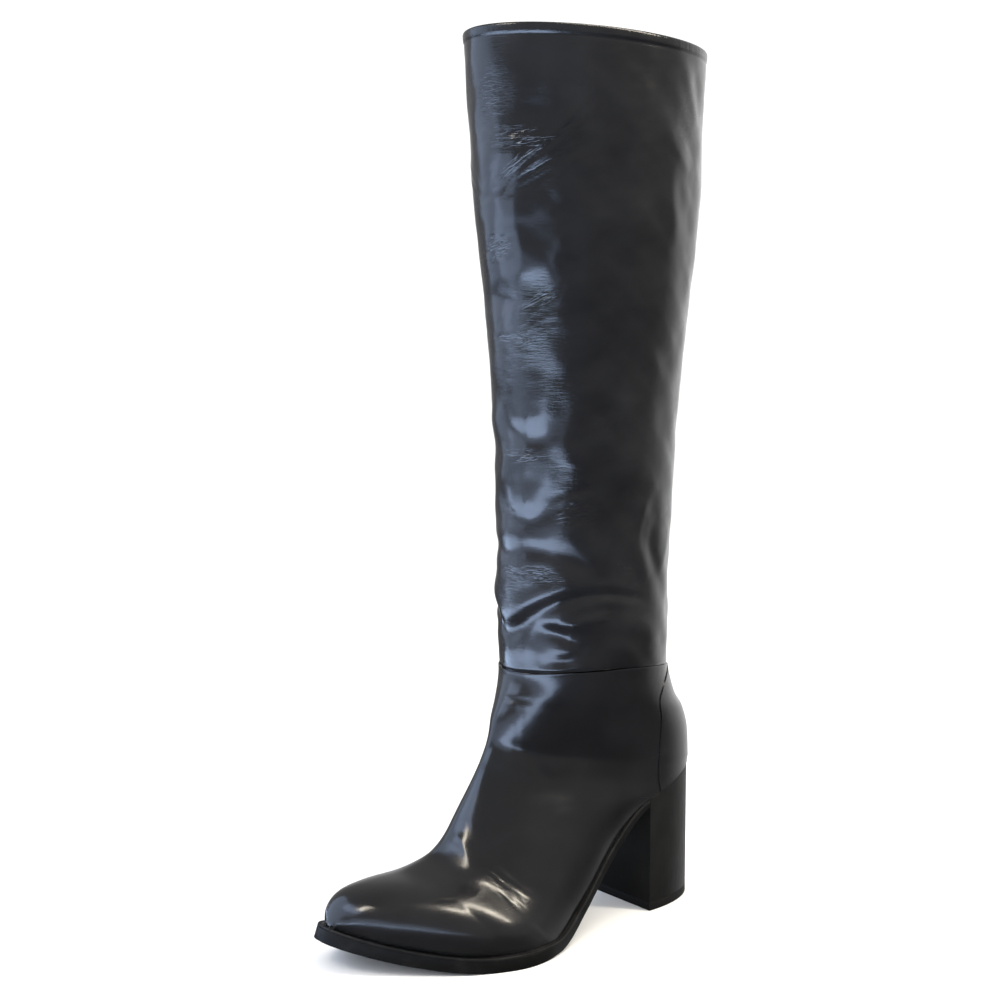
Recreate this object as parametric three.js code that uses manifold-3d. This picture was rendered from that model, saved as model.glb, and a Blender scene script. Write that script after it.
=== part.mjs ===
// A left knee-high pull-on boot with a straight block heel, empty and standing on its sole.
// Millimetres, +Z up, toe towards -Y, outer side of the foot towards +X, origin under the middle on the floor.
import * as THREE from 'three';
import { mergeVertices } from 'three/addons/utils/BufferGeometryUtils.js';
import Module from 'manifold-3d';

const wasm = await Module();
wasm.setup();

// Main sizes of the foot
const soleLength = 243;
const ballWidth = 90;
const heelWidth = 56;
const heelLength = 48.5;
const heelHeight = 83;
const breastHeight = 67;
const toeSpring = 14.5;
const springPower = 1.85;
const shankEnd = 0.55 * soleLength;
const edgeStart = 0.4 * soleLength;
const treadStart = 0.62 * soleLength;
const treadEnd = 0.71 * soleLength;
const toeCurl = 0.61 * soleLength;

// Main sizes of the leg
const bootHeight = 496;
const collarDrop = 7;
const collarLength = 151;
const collarWidth = 110;
const legCentre = 76;
const ankleHeight = 145;
const ankleLength = 108;
const ankleRise = 3.5;
const ankleArch = 4;

// Thicknesses, steps and clearances
const wall = 2;
const gap = 0.3;
const foreSole = 6.5;
const waistSole = 2.7;
const weltThickness = 1.4;
const weltWidth = 9;
const soleMargin = 3;
const waistMargin = 1.5;
const soleBevel = 0.7;
const insoleThickness = 2.5;
const openingHeight = insoleThickness + 0.8;
const openingDepth = 4;
const rebate = 0.2;
const topPieceHeight = 5;
const bandHeight = 5;
const bandStep = 0.5;
const counterStep = 0.5;
const backFlat = 4;
const footDrop = 1.5;
const spare = 14;
const endFlat = 1;

// Fineness of the faces
const ringsPerRow = 1.25;
const pointsAround = 36;
const soleSteps = 44;
const heelSteps = 20;
const seamSteps = 16;
const sheetCells = 10;

// The upper's lower edge over the forefoot
const bedLow = foreSole + weltThickness + 2 * gap;

// Plan of the sole: X of its middle line and its half width, as shares of ballWidth, at shares of soleLength
const outline = [
  { place: 0, centre: 0, half: 0.5 * heelWidth / ballWidth },
  { place: 0.2, centre: 0, half: 0.5 * heelWidth / ballWidth },
  { place: 0.32, centre: 0.045, half: 0.295 },
  { place: 0.45, centre: 0.072, half: 0.35 },
  { place: 0.58, centre: 0.083, half: 0.475 },
  { place: 0.67, centre: 0.06, half: 0.517 },
  { place: 0.76, centre: 0.018, half: 0.502 },
  { place: 0.86, centre: -0.058, half: 0.45 },
  { place: 1, centre: -0.165, half: 0.375 },
];

// Level sections of the leg: height as a share of bootHeight, length and width as shares of the collar's,
// shift of the middle towards the heel as a share of collarLength
const leg = [
  { height: 1.03, length: 1.005, width: 1.0, shift: 0.0 },
  { height: 0.93, length: 0.97, width: 0.97, shift: 0.004 },
  { height: 0.82, length: 0.925, width: 0.925, shift: 0.01 },
  { height: 0.71, length: 0.85, width: 0.85, shift: 0.012 },
  { height: 0.6, length: 0.78, width: 0.78, shift: 0.01 },
  { height: 0.5, length: 0.742, width: 0.735, shift: 0.004 },
  { height: 0.41, length: 0.735, width: 0.72, shift: 0.0 },
  { height: 0.34, length: 0.725, width: 0.705, shift: 0.0 },
  { height: 0.3, length: 0.715, width: 0.69, shift: 0.0 },
];

// Sections that fan from the ankle round the heel and along the foot. Each stands between a lower end, at a share
// of soleLength and raised above the bed by a share of ankleHeight, and an upper end. The reach of its sides is a
// share of ballWidth, its widest place a share of its own length, and round is the fullness of its top.
const foot = [
  { place: 0.062, raised: 0.32, top: 0.549, height: 0.955, out: 0.405, in: 0.4, belly: 0.46, round: 2, ridge: 0 },
  { place: 0.032, raised: 0.235, top: 0.563, height: 0.9, out: 0.385, in: 0.38, belly: 0.42, round: 1.95, ridge: 0 },
  { place: 0.012, raised: 0.14, top: 0.577, height: 0.845, out: 0.365, in: 0.36, belly: 0.39, round: 1.9, ridge: -0.01 },
  { place: 0.005, raised: 0.06, top: 0.585, height: 0.79, out: 0.345, in: 0.345, belly: 0.37, round: 1.85, ridge: -0.01 },
  { place: 0.003, raised: 0, top: 0.592, height: 0.745, out: 0.335, in: 0.335, belly: 0.36, round: 1.8, ridge: -0.02 },
  { place: 0.05, raised: 0, top: 0.605, height: 0.697, out: 0.33, in: 0.33, belly: 0.33, round: 1.8, ridge: -0.02 },
  { place: 0.11, raised: 0, top: 0.618, height: 0.648, out: 0.33, in: 0.33, belly: 0.3, round: 1.8, ridge: -0.03 },
  { place: 0.2, raised: 0, top: 0.637, height: 0.586, out: 0.345, in: 0.335, belly: 0.3, round: 1.8, ridge: -0.04 },
  { place: 0.32, raised: 0, top: 0.662, height: 0.514, out: 0.375, in: 0.33, belly: 0.32, round: 1.8, ridge: -0.05 },
  { place: 0.44, raised: 0, top: 0.691, height: 0.428, out: 0.435, in: 0.335, belly: 0.3, round: 1.8, ridge: -0.06 },
  { place: 0.54, raised: 0, top: 0.725, height: 0.359, out: 0.505, in: 0.375, belly: 0.26, round: 1.8, ridge: -0.075 },
  { place: 0.63, raised: 0, top: 0.766, height: 0.324, out: 0.54, in: 0.425, belly: 0.22, round: 1.85, ridge: -0.09 },
  { place: 0.72, raised: 0, top: 0.807, height: 0.303, out: 0.512, in: 0.438, belly: 0.2, round: 2, ridge: -0.11 },
  { place: 0.8, raised: 0, top: 0.852, height: 0.297, out: 0.405, in: 0.425, belly: 0.2, round: 2.1, ridge: -0.13 },
  { place: 0.87, raised: 0, top: 0.8955, height: 0.288, out: 0.265, in: 0.395, belly: 0.22, round: 2.2, ridge: -0.135 },
  { place: 0.925, raised: 0, top: 0.934, height: 0.272, out: 0.14, in: 0.35, belly: 0.25, round: 2.3, ridge: -0.15 },
  { place: 0.96, raised: 0, top: 0.961, height: 0.245, out: 0.03, in: 0.3, belly: 0.3, round: 2.3, ridge: -0.16 },
  { place: 0.98, raised: 0, top: 0.98, height: 0.2, out: -0.06, in: 0.25, belly: 0.4, round: 2.2, ridge: -0.165 },
];

// A smooth curve through the rows of a table, without overshoot
function curve(rows, along, column) {
  const at = rows.map((row, index) => (along ? row[along] : index));
  const value = rows.map((row) => row[column]);
  const last = rows.length - 1;
  const step = [];
  for (let i = 0; i < last; i += 1) {
    step.push((value[i + 1] - value[i]) / (at[i + 1] - at[i]));
  }
  const slope = rows.map((row, i) => {
    if (i === 0) return step[0];
    if (i === last) return step[last - 1];
    if (step[i - 1] * step[i] <= 0) return 0;
    return 2 * step[i - 1] * step[i] / (step[i - 1] + step[i]);
  });
  return (place) => {
    let i = 0;
    while (i < last - 1 && place > at[i + 1]) i += 1;
    const width = at[i + 1] - at[i];
    const t = Math.min(1, Math.max(0, (place - at[i]) / width));
    const s = 1 - t;
    return s * s * (1 + 2 * t) * value[i] + t * t * (1 + 2 * s) * value[i + 1]
      + s * s * t * width * slope[i] - t * t * s * width * slope[i + 1];
  };
}

// Height of the upper's lower edge above the floor, at a place in millimetres ahead of the heel's back
const seatSlope = (heelHeight - breastHeight) / heelLength;
function bedHeight(place) {
  if (place <= heelLength) return heelHeight - seatSlope * place;
  if (place < shankEnd) {
    const run = shankEnd - heelLength;
    const t = (place - heelLength) / run;
    const s = 1 - t;
    return bedLow + s * s * (1 + 2 * t) * (breastHeight - bedLow) - s * s * t * run * seatSlope;
  }
  if (place <= treadEnd) return bedLow;
  return bedLow + toeSpring * ((place - treadEnd) / (soleLength - treadEnd)) ** springPower;
}

// A point at a lift from the bed, square to it
function bedPoint(place, lift) {
  const step = 0.5;
  const slope = (bedHeight(place + step) - bedHeight(place - step)) / (2 * step);
  const long = Math.hypot(1, slope);
  return { y: -place + lift * slope / long, z: bedHeight(place) + lift / long };
}

// The sole's two sides at a place, set in by a margin
const middleLine = curve(outline, 'place', 'centre');
const halfLine = curve(outline, 'place', 'half');
function soleSides(place, inset) {
  const length = soleLength - inset;
  const share = place / soleLength;
  let end = 1;
  if (place < heelLength) {
    end = Math.sqrt(Math.max(0, 1 - ((heelLength - place) / (heelLength - inset)) ** 2));
  }
  if (place > toeCurl) {
    end = Math.sqrt(Math.max(0, 1 - ((place - toeCurl) / (length - toeCurl)) ** 2));
  }
  const half = (halfLine(share) * ballWidth - inset) * end;
  const centre = middleLine(share) * ballWidth;
  return { out: centre + half, in: centre - half };
}

// How far the sole stands out past the upper: nothing at the heel, more at the waist, most at the forefoot
function margin(place) {
  if (place <= heelLength) return 0;
  const waist = Math.min(1, (place - heelLength) / (0.1 * soleLength));
  const ball = Math.min(1, Math.max(0, (place / soleLength - 0.4) / 0.2));
  return waistMargin * waist + (soleMargin - waistMargin) * ball;
}

// The upper's lower edge
function featherSides(place) {
  return soleSides(place, margin(place));
}

// Thickness of the outsole's edge
function soleThickness(place) {
  const t = Math.min(1, Math.max(0, (place - edgeStart) / (treadStart - edgeStart)));
  return waistSole + (foreSole - waistSole) * t * t * (3 - 2 * t);
}

// The sections of the whole upper, from above the collar to the toe
const sections = [
  ...leg.map((row) => {
    const middle = legCentre - row.shift * collarLength;
    return {
      backY: -(middle - 0.5 * row.length * collarLength),
      backZ: row.height * bootHeight,
      frontY: -(middle + 0.5 * row.length * collarLength),
      frontZ: row.height * bootHeight,
      footOut: backFlat,
      footIn: -backFlat,
      bellyOut: 0.5 * row.width * collarWidth,
      bellyIn: -0.5 * row.width * collarWidth,
      belly: 0.5,
      round: 2,
      ridge: 0,
    };
  }),
  ...foot.map((row) => {
    const place = row.place * soleLength;
    const feather = featherSides(place);
    const onBed = row.raised === 0;
    const low = bedPoint(place, onBed ? -footDrop : 0);
    return {
      backY: low.y,
      backZ: low.z + row.raised * ankleHeight,
      frontY: -row.top * soleLength,
      frontZ: row.height * ankleHeight,
      footOut: onBed ? feather.out : backFlat,
      footIn: onBed ? feather.in : -backFlat,
      bellyOut: row.out * ballWidth,
      bellyIn: -row.in * ballWidth,
      belly: row.belly,
      round: row.round,
      ridge: row.ridge * ballWidth,
    };
  }),
];
const sectionCurves = {};
for (const name of Object.keys(sections[0])) {
  sectionCurves[name] = curve(sections, null, name);
}

// A point of the upper's outer face: row runs down the table of sections, turn from 0 at the lower outer corner
// over the top at 0.5 to 1 at the lower inner corner
function skin(row, turn) {
  const s = {};
  for (const name of Object.keys(sectionCurves)) s[name] = sectionCurves[name](row);
  const outer = turn <= 0.5;
  const climb = outer ? 2 * turn : 2 * (1 - turn);
  const middle = 0.5 * (s.footOut + s.footIn);
  const foot = outer ? s.footOut - middle : middle - s.footIn;
  const reach = Math.max(foot + 0.1, outer ? s.bellyOut - middle : middle - s.bellyIn);
  const lowShare = 0.42;
  let across;
  let along;
  if (climb < lowShare) {
    const start = Math.asin(foot / reach);
    const angle = start + (Math.PI / 2 - start) * climb / lowShare;
    across = middle + (outer ? 1 : -1) * reach * Math.sin(angle);
    along = s.belly * (1 - Math.cos(angle) / Math.cos(start));
  } else {
    const angle = 0.5 * Math.PI * (climb - lowShare) / (1 - lowShare);
    const edge = middle + (outer ? 1 : -1) * reach;
    across = s.ridge + (edge - s.ridge) * Math.max(0, Math.cos(angle)) ** (2 / s.round);
    along = s.belly + (1 - s.belly) * Math.sin(angle) ** (2 / s.round);
  }
  return new THREE.Vector3(
    across,
    s.backY + (s.frontY - s.backY) * along,
    s.backZ + (s.frontZ - s.backZ) * along,
  );
}

// The same face moved outwards by a lift
function liftedSkin(row, turn, lift) {
  const point = skin(row, turn);
  if (lift === 0) return point;
  const last = sections.length - 1;
  const step = 0.02;
  const alongRow = skin(Math.min(last, row + step), turn).sub(skin(Math.max(0, row - step), turn));
  const alongTurn = skin(row, Math.min(1, turn + step)).sub(skin(row, Math.max(0, turn - step)));
  return point.addScaledVector(alongTurn.cross(alongRow).normalize(), lift);
}

// Closed solid through rings of points, with flat ends
function loft(rings) {
  const count = rings[0].length;
  const corners = [];
  const faces = [];
  for (const ring of rings) {
    for (const point of ring) corners.push(point.x, point.y, point.z);
  }
  for (let r = 0; r + 1 < rings.length; r += 1) {
    for (let i = 0; i < count; i += 1) {
      const a = r * count + i;
      const b = r * count + (i + 1) % count;
      faces.push(a, b, b + count, a, b + count, a + count);
    }
  }
  for (const [ring, first, turned] of [[rings[0], 0, true], [rings.at(-1), (rings.length - 1) * count, false]]) {
    const middle = ring.reduce((sum, point) => sum.add(point), new THREE.Vector3()).divideScalar(count);
    const hub = corners.length / 3;
    corners.push(middle.x, middle.y, middle.z);
    for (let i = 0; i < count; i += 1) {
      const a = first + i;
      const b = first + (i + 1) % count;
      faces.push(...(turned ? [hub, b, a] : [hub, a, b]));
    }
  }
  return solid(corners, faces);
}

// A solid for cutting and joining, with its faces turned outwards
function solid(corners, faces) {
  const geometry = new THREE.BufferGeometry();
  geometry.setAttribute('position', new THREE.Float32BufferAttribute(corners, 3));
  geometry.setIndex(faces);
  const merged = mergeVertices(geometry, 1e-4);
  const place = merged.getAttribute('position').array;
  const index = Array.from(merged.getIndex().array);
  let volume = 0;
  for (let i = 0; i < index.length; i += 3) {
    const [a, b, c] = [0, 1, 2].map((k) => new THREE.Vector3().fromArray(place, 3 * index[i + k]));
    volume += a.dot(b.cross(c));
  }
  if (volume < 0) {
    for (let i = 0; i < index.length; i += 3) [index[i + 1], index[i + 2]] = [index[i + 2], index[i + 1]];
  }
  return new wasm.Manifold(new wasm.Mesh({
    numProp: 3,
    vertProperties: Float32Array.from(place),
    triVerts: Uint32Array.from(index),
  }));
}

// The boot's whole outer form, moved outwards by a lift
function form(lift) {
  const rings = [];
  const last = sections.length - 1;
  const count = Math.round(last * ringsPerRow);
  for (let r = 0; r <= count; r += 1) {
    const ring = [];
    for (let i = 0; i <= pointsAround; i += 1) {
      ring.push(liftedSkin(last * r / count, i / pointsAround, lift));
    }
    rings.push(ring);
  }
  return loft(rings);
}

// Places between two ends, closer together near them
function spread(from, to, count) {
  const places = [];
  for (let i = 0; i <= count; i += 1) {
    places.push(from + (to - from) * 0.5 * (1 - Math.cos(Math.PI * i / count)));
  }
  return places;
}

// Places along the sole that all its layers share, so that their faces lie parallel
const shared = spread(0, soleLength, soleSteps);
function stations(from, to) {
  const step = 0.6;
  return [from, ...shared.filter((place) => place > from + step && place < to - step), to];
}

// A layer of the sole between two lifts from the bed, with its lower edges bevelled
function layer({ from, to, sides, low, high, bevel = 0 }) {
  return loft(stations(from, to).map((place) => {
    const side = sides(place);
    const half = 0.5 * (side.out - side.in);
    const cut = Math.min(bevel, 0.4 * half);
    const under = bedPoint(place, low(place));
    const edge = bedPoint(place, low(place) + cut);
    const over = bedPoint(place, high(place));
    const at = (x, point) => new THREE.Vector3(x, point.y, point.z);
    const ring = [at(side.out, over), at(side.out, edge), at(side.out - cut, under)];
    return [...ring, at(side.in + cut, under), at(side.in, edge), at(side.in, over)];
  }));
}

// An upright block with the heel's plan, between two heights
function heelBlock(low, high) {
  return loft(spread(0.5 * endFlat, heelLength, heelSteps).map((place) => {
    const side = soleSides(place, 0);
    const at = (x, z) => new THREE.Vector3(x, -place, z);
    return [at(side.out, high(place)), at(side.out, low(place)), at(side.in, low(place)), at(side.in, high(place))];
  }));
}

// A thick sheet over the whole boot between two heights that change across it
function sheet(low, high, cells = sheetCells) {
  const reach = 2 * ballWidth;
  const rings = [];
  for (let r = 0; r <= cells; r += 1) {
    const y = spare - (soleLength + 2 * spare) * r / cells;
    const ring = [];
    for (let i = 0; i <= cells; i += 1) {
      const x = reach * (i / cells - 0.5);
      ring.push(new THREE.Vector3(x, y, low(x, y)));
    }
    for (let i = cells; i >= 0; i -= 1) {
      const x = reach * (i / cells - 0.5);
      ring.push(new THREE.Vector3(x, y, high(x, y)));
    }
    rings.push(ring);
  }
  return loft(rings);
}

// Front edge of the counter from the side: ahead of the heel's back as a share of heelLength, and up from the heel
// seat as a share of the height from there to the ankle
const counterFront = [
  { ahead: 0.8, up: -0.6 },
  { ahead: 0.83, up: -0.25 },
  { ahead: 0.895, up: 0 },
  { ahead: 0.93, up: 0.5 },
  { ahead: 0.97, up: 0.68 },
  { ahead: 0.82, up: 0.84 },
  { ahead: 0.6, up: 0.95 },
  { ahead: 0.25, up: 1.2 },
];

// The counter's outline as a block across the boot, grown forwards
function counterBlock(grow) {
  const rise = ankleHeight - heelHeight;
  const aheadLine = curve(counterFront, 'up', 'ahead');
  const lowest = counterFront[0].up;
  const highest = counterFront.at(-1).up;
  const rings = [];
  for (let i = 0; i <= seamSteps; i += 1) {
    const up = lowest + (highest - lowest) * i / seamSteps;
    const y = -aheadLine(up) * heelLength - grow;
    const z = heelHeight + up * rise;
    const back = 2 * spare;
    rings.push([
      new THREE.Vector3(ballWidth, y, z),
      new THREE.Vector3(-ballWidth, y, z),
      new THREE.Vector3(-ballWidth, back, z),
      new THREE.Vector3(ballWidth, back, z),
    ]);
  }
  return loft(rings);
}

// Everything under the bed, for trimming the upper's lower edge
const underBed = layer({
  from: -spare,
  to: soleLength + spare,
  sides: () => ({ out: ballWidth, in: -ballWidth }),
  low: () => -2 * spare,
  high: () => 0,
});

const top = (x, y) => bootHeight - collarDrop * (1 + (y + legCentre - 0.5 * collarLength) / collarLength);
const seam = (x, y) => ankleHeight - ankleRise * (y + legCentre) / (0.5 * ankleLength)
  + ankleArch * (x / (0.35 * collarWidth)) ** 2;
const ceiling = () => bootHeight + 4 * spare;
const floor = () => -spare;

const outer = form(0).subtract(underBed);
const inner = form(-wall);
const footOpening = layer({
  from: wall + gap,
  to: soleLength - soleMargin - wall - 0.5 * endFlat,
  sides: (place) => soleSides(place, margin(place) + wall - rebate),
  low: () => -openingDepth,
  high: () => openingHeight,
});
const hollow = inner.add(footOpening);

const belowTop = sheet(floor, top);
const belowBand = sheet(floor, (x, y) => top(x, y) - bandHeight);
const aboveSeam = sheet((x, y) => seam(x, y) + 0.5 * gap, ceiling);
const belowSeam = sheet(floor, (x, y) => seam(x, y) - 0.5 * gap);

const shaft = outer.add(form(bandStep).subtract(belowBand)).subtract(hollow)
  .intersect(belowTop).intersect(aboveSeam);
const upper = outer.subtract(hollow).intersect(belowSeam).subtract(counterBlock(0.5 * gap));
const counter = form(counterStep).subtract(underBed).subtract(hollow).intersect(belowSeam).intersect(counterBlock(-0.5 * gap));

const insole = layer({
  from: wall + 2 * gap,
  to: soleLength - soleMargin - wall - gap - endFlat,
  sides: (place) => soleSides(place, margin(place) + wall + gap),
  low: () => 0,
  high: () => insoleThickness,
});

// Everything behind the breast of the heel
const behindBreast = loft([-spare, heelHeight + spare].map((z) => [
  new THREE.Vector3(ballWidth, -heelLength - gap, z),
  new THREE.Vector3(-ballWidth, -heelLength - gap, z),
  new THREE.Vector3(-ballWidth, 2 * spare, z),
  new THREE.Vector3(ballWidth, 2 * spare, z),
]));

// The welt lies under the upper's edge from the breast round the toe
const weltTop = -gap;
const weltLow = weltTop - weltThickness;
const weltPlate = layer({
  from: heelLength - 0.5 * spare,
  to: soleLength - gap - 0.2 * endFlat,
  sides: (place) => soleSides(place, gap),
  low: () => weltLow,
  high: () => weltTop,
});
const weltHole = layer({
  from: heelLength - spare,
  to: soleLength - weltWidth,
  sides: (place) => soleSides(Math.max(heelLength, place), weltWidth),
  low: () => weltLow - spare,
  high: () => weltTop + spare,
});
const welt = weltPlate.subtract(weltHole).subtract(behindBreast);

const outsole = layer({
  from: heelLength - 0.5 * spare,
  to: soleLength - 0.2 * endFlat,
  sides: (place) => soleSides(place, 0),
  low: (place) => weltLow - gap - soleThickness(place),
  high: () => weltLow - gap,
  bevel: soleBevel,
}).subtract(behindBreast);

const heel = heelBlock(() => topPieceHeight + gap, (place) => bedPoint(place, -gap).z);
const topPiece = heelBlock(() => 0, () => topPieceHeight);

const leather = { color: 0x0b0b0c, roughness: 0.28, metalness: 0 };
const soleStuff = { color: 0x111010, roughness: 0.45, metalness: 0 };
const rubber = { color: 0x171616, roughness: 0.6, metalness: 0 };
const lining = { color: 0x2a2623, roughness: 0.8, metalness: 0 };

function piece(name, body, finish) {
  const mesh = body.getMesh();
  const geometry = new THREE.BufferGeometry();
  geometry.setAttribute('position', new THREE.BufferAttribute(Float32Array.from(mesh.vertProperties), 3));
  geometry.setIndex(Array.from(mesh.triVerts));
  const made = new THREE.Mesh(geometry, new THREE.MeshStandardMaterial(finish));
  made.name = name;
  return made;
}

const boot = new THREE.Group();
boot.add(piece('shaft', shaft, leather));
boot.add(piece('upper', upper, leather));
boot.add(piece('heel_counter', counter, leather));
boot.add(piece('insole', insole, lining));
boot.add(piece('welt', welt, soleStuff));
boot.add(piece('outsole', outsole, soleStuff));
boot.add(piece('heel', heel, soleStuff));
boot.add(piece('heel_top_piece', topPiece, rubber));

// The origin lies on the floor under the middle of the whole boot
const box = new THREE.Box3().setFromObject(boot);
boot.position.set(-0.5 * (box.min.x + box.max.x), -0.5 * (box.min.y + box.max.y), -box.min.z);

export default boot;
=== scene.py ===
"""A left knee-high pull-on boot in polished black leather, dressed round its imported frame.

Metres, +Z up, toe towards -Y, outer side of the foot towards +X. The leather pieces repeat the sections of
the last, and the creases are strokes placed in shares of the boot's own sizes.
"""
import math

import bpy
import numpy as np
from mathutils import Matrix, Vector


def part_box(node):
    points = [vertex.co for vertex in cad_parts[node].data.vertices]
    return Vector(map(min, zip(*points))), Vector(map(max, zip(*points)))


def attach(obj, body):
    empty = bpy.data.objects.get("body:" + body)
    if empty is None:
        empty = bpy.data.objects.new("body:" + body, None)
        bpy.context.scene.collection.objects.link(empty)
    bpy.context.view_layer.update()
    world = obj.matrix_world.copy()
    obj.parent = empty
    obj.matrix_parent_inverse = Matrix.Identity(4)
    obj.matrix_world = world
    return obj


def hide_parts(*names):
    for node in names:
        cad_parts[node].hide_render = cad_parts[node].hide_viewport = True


bl_info = {
    "name": "Knee-high boot",
    "version": (1, 0, 0),
    "blender": (4, 5, 0),
    "location": "View3D > Sidebar > Boot",
    "description": "Models the leather, lining, sole and heel of a knee-high boot and its studio",
    "category": "Object",
}

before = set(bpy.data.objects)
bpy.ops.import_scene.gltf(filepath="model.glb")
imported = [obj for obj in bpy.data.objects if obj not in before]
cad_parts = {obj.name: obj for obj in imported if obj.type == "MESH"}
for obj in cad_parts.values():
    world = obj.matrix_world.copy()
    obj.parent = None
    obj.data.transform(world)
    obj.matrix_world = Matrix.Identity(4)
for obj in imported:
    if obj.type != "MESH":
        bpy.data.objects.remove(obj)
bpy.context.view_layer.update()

# Main sizes of the foot, as in the frame
SOLE_LENGTH = 0.243
BALL_WIDTH = 0.090
HEEL_WIDTH = 0.056
HEEL_LENGTH = 0.0485
HEEL_HEIGHT = 0.083
BREAST_HEIGHT = 0.067
TOE_SPRING = 0.0145
SHANK_END = 0.55 * SOLE_LENGTH
EDGE_START = 0.4 * SOLE_LENGTH
TREAD_START = 0.62 * SOLE_LENGTH
TREAD_END = 0.71 * SOLE_LENGTH
TOE_CURL = 0.61 * SOLE_LENGTH

# Powers of the toe's spring and of the inner side of its plan, where 2 is an ellipse
SPRING_POWER = 1.85
INNER_TOE = 2.5

# Main sizes of the leg
BOOT_HEIGHT = 0.496
COLLAR_DROP = 0.007
COLLAR_LENGTH = 0.151
COLLAR_WIDTH = 0.110
LEG_CENTRE = 0.076
ANKLE_HEIGHT = 0.145
ANKLE_LENGTH = 0.108
ANKLE_HALF_WIDTH = 0.35 * COLLAR_WIDTH
ANKLE_RISE = 0.0035
ANKLE_ARCH = 0.004

# Thicknesses, steps and clearances
WALL = 0.002
GAP = 0.0003
FORE_SOLE = 0.0065
WAIST_SOLE = 0.0027
WELT_THICKNESS = 0.0014
WELT_WIDTH = 0.009
SOLE_MARGIN = 0.003
WAIST_MARGIN = 0.0015
INSOLE_THICKNESS = 0.0025
TOP_PIECE_HEIGHT = 0.005
BAND_HEIGHT = 0.005
BAND_STEP = 0.0005
COUNTER_STEP = 0.0005
BACK_FLAT = 0.004
BED_LOW = FORE_SOLE + WELT_THICKNESS + 2 * GAP
SEAT_SLOPE = (HEEL_HEIGHT - BREAST_HEIGHT) / HEEL_LENGTH

# Where the heel's back and the heel's middle line lie in the frame
HEEL_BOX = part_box("heel")
BACK = HEEL_BOX[0].y + HEEL_LENGTH
MIDDLE = 0.5 * (HEEL_BOX[0].x + HEEL_BOX[1].x)

# Plan of the sole: place as a share of its length, middle line and half width as shares of the ball's
# width
OUTLINE = (
    ("place", "centre", "half"),
    (0.0, 0.0, 0.5 * HEEL_WIDTH / BALL_WIDTH),
    (0.2, 0.0, 0.5 * HEEL_WIDTH / BALL_WIDTH),
    (0.32, 0.045, 0.295),
    (0.45, 0.072, 0.35),
    (0.58, 0.083, 0.475),
    (0.67, 0.06, 0.517),
    (0.76, 0.018, 0.502),
    (0.86, -0.058, 0.45),
    (1.0, -0.165, 0.375),
)

# Level sections of the leg, as shares of its height and of the collar's length and width
LEG = (
    ("height", "length", "width", "shift"),
    (1.03, 1.005, 1.0, 0.0),
    (0.93, 0.97, 0.97, 0.004),
    (0.82, 0.925, 0.925, 0.01),
    (0.71, 0.85, 0.85, 0.012),
    (0.6, 0.78, 0.78, 0.01),
    (0.5, 0.742, 0.735, 0.004),
    (0.41, 0.735, 0.72, 0.0),
    (0.34, 0.725, 0.705, 0.0),
    (0.3, 0.715, 0.69, 0.0),
)

# Sections that fan from the ankle round the heel and along the foot, as in the frame, and a last one at
# the toe
FOOT = (
    ("place", "raised", "top", "height", "out", "in", "belly", "round", "ridge"),
    (0.062, 0.32, 0.549, 0.955, 0.405, 0.4, 0.46, 2, 0),
    (0.032, 0.235, 0.563, 0.9, 0.385, 0.38, 0.42, 1.95, 0),
    (0.012, 0.14, 0.577, 0.845, 0.365, 0.36, 0.39, 1.9, -0.01),
    (0.005, 0.06, 0.585, 0.79, 0.345, 0.345, 0.37, 1.85, -0.01),
    (0.003, 0, 0.592, 0.745, 0.335, 0.335, 0.36, 1.8, -0.02),
    (0.05, 0, 0.605, 0.697, 0.33, 0.33, 0.33, 1.8, -0.02),
    (0.11, 0, 0.618, 0.648, 0.33, 0.33, 0.3, 1.8, -0.03),
    (0.2, 0, 0.637, 0.586, 0.345, 0.335, 0.3, 1.8, -0.04),
    (0.32, 0, 0.662, 0.514, 0.375, 0.33, 0.32, 1.8, -0.05),
    (0.44, 0, 0.691, 0.428, 0.435, 0.335, 0.3, 1.8, -0.06),
    (0.54, 0, 0.725, 0.359, 0.505, 0.375, 0.26, 1.8, -0.075),
    (0.63, 0, 0.766, 0.324, 0.54, 0.425, 0.22, 1.85, -0.09),
    (0.72, 0, 0.807, 0.303, 0.512, 0.438, 0.2, 2, -0.11),
    (0.8, 0, 0.852, 0.297, 0.405, 0.425, 0.2, 2.1, -0.13),
    (0.87, 0, 0.8955, 0.288, 0.265, 0.395, 0.22, 2.2, -0.135),
    (0.925, 0, 0.934, 0.272, 0.14, 0.35, 0.25, 2.3, -0.15),
    (0.96, 0, 0.961, 0.245, 0.03, 0.3, 0.3, 2.3, -0.16),
    (0.98, 0, 0.98, 0.2, -0.06, 0.25, 0.4, 2.2, -0.165),
    (0.9868, 0, 0.9868, 0.178, -0.115, 0.21, 0.42, 2.2, -0.165),
)

# Front edge of the counter: ahead of the heel's back as a share of the heel's length, up from the heel
# seat as a share of the height from there to the ankle
COUNTER_FRONT = (
    ("ahead", "up"),
    (0.8, -0.6),
    (0.83, -0.25),
    (0.895, 0),
    (0.93, 0.5),
    (0.97, 0.68),
    (0.82, 0.84),
    (0.6, 0.95),
    (0.25, 1.2),
)


def column(table, name):
    """One column of a table with named columns."""
    index = table[0].index(name)
    return np.array([row[index] for row in table[1:]], float)


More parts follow.
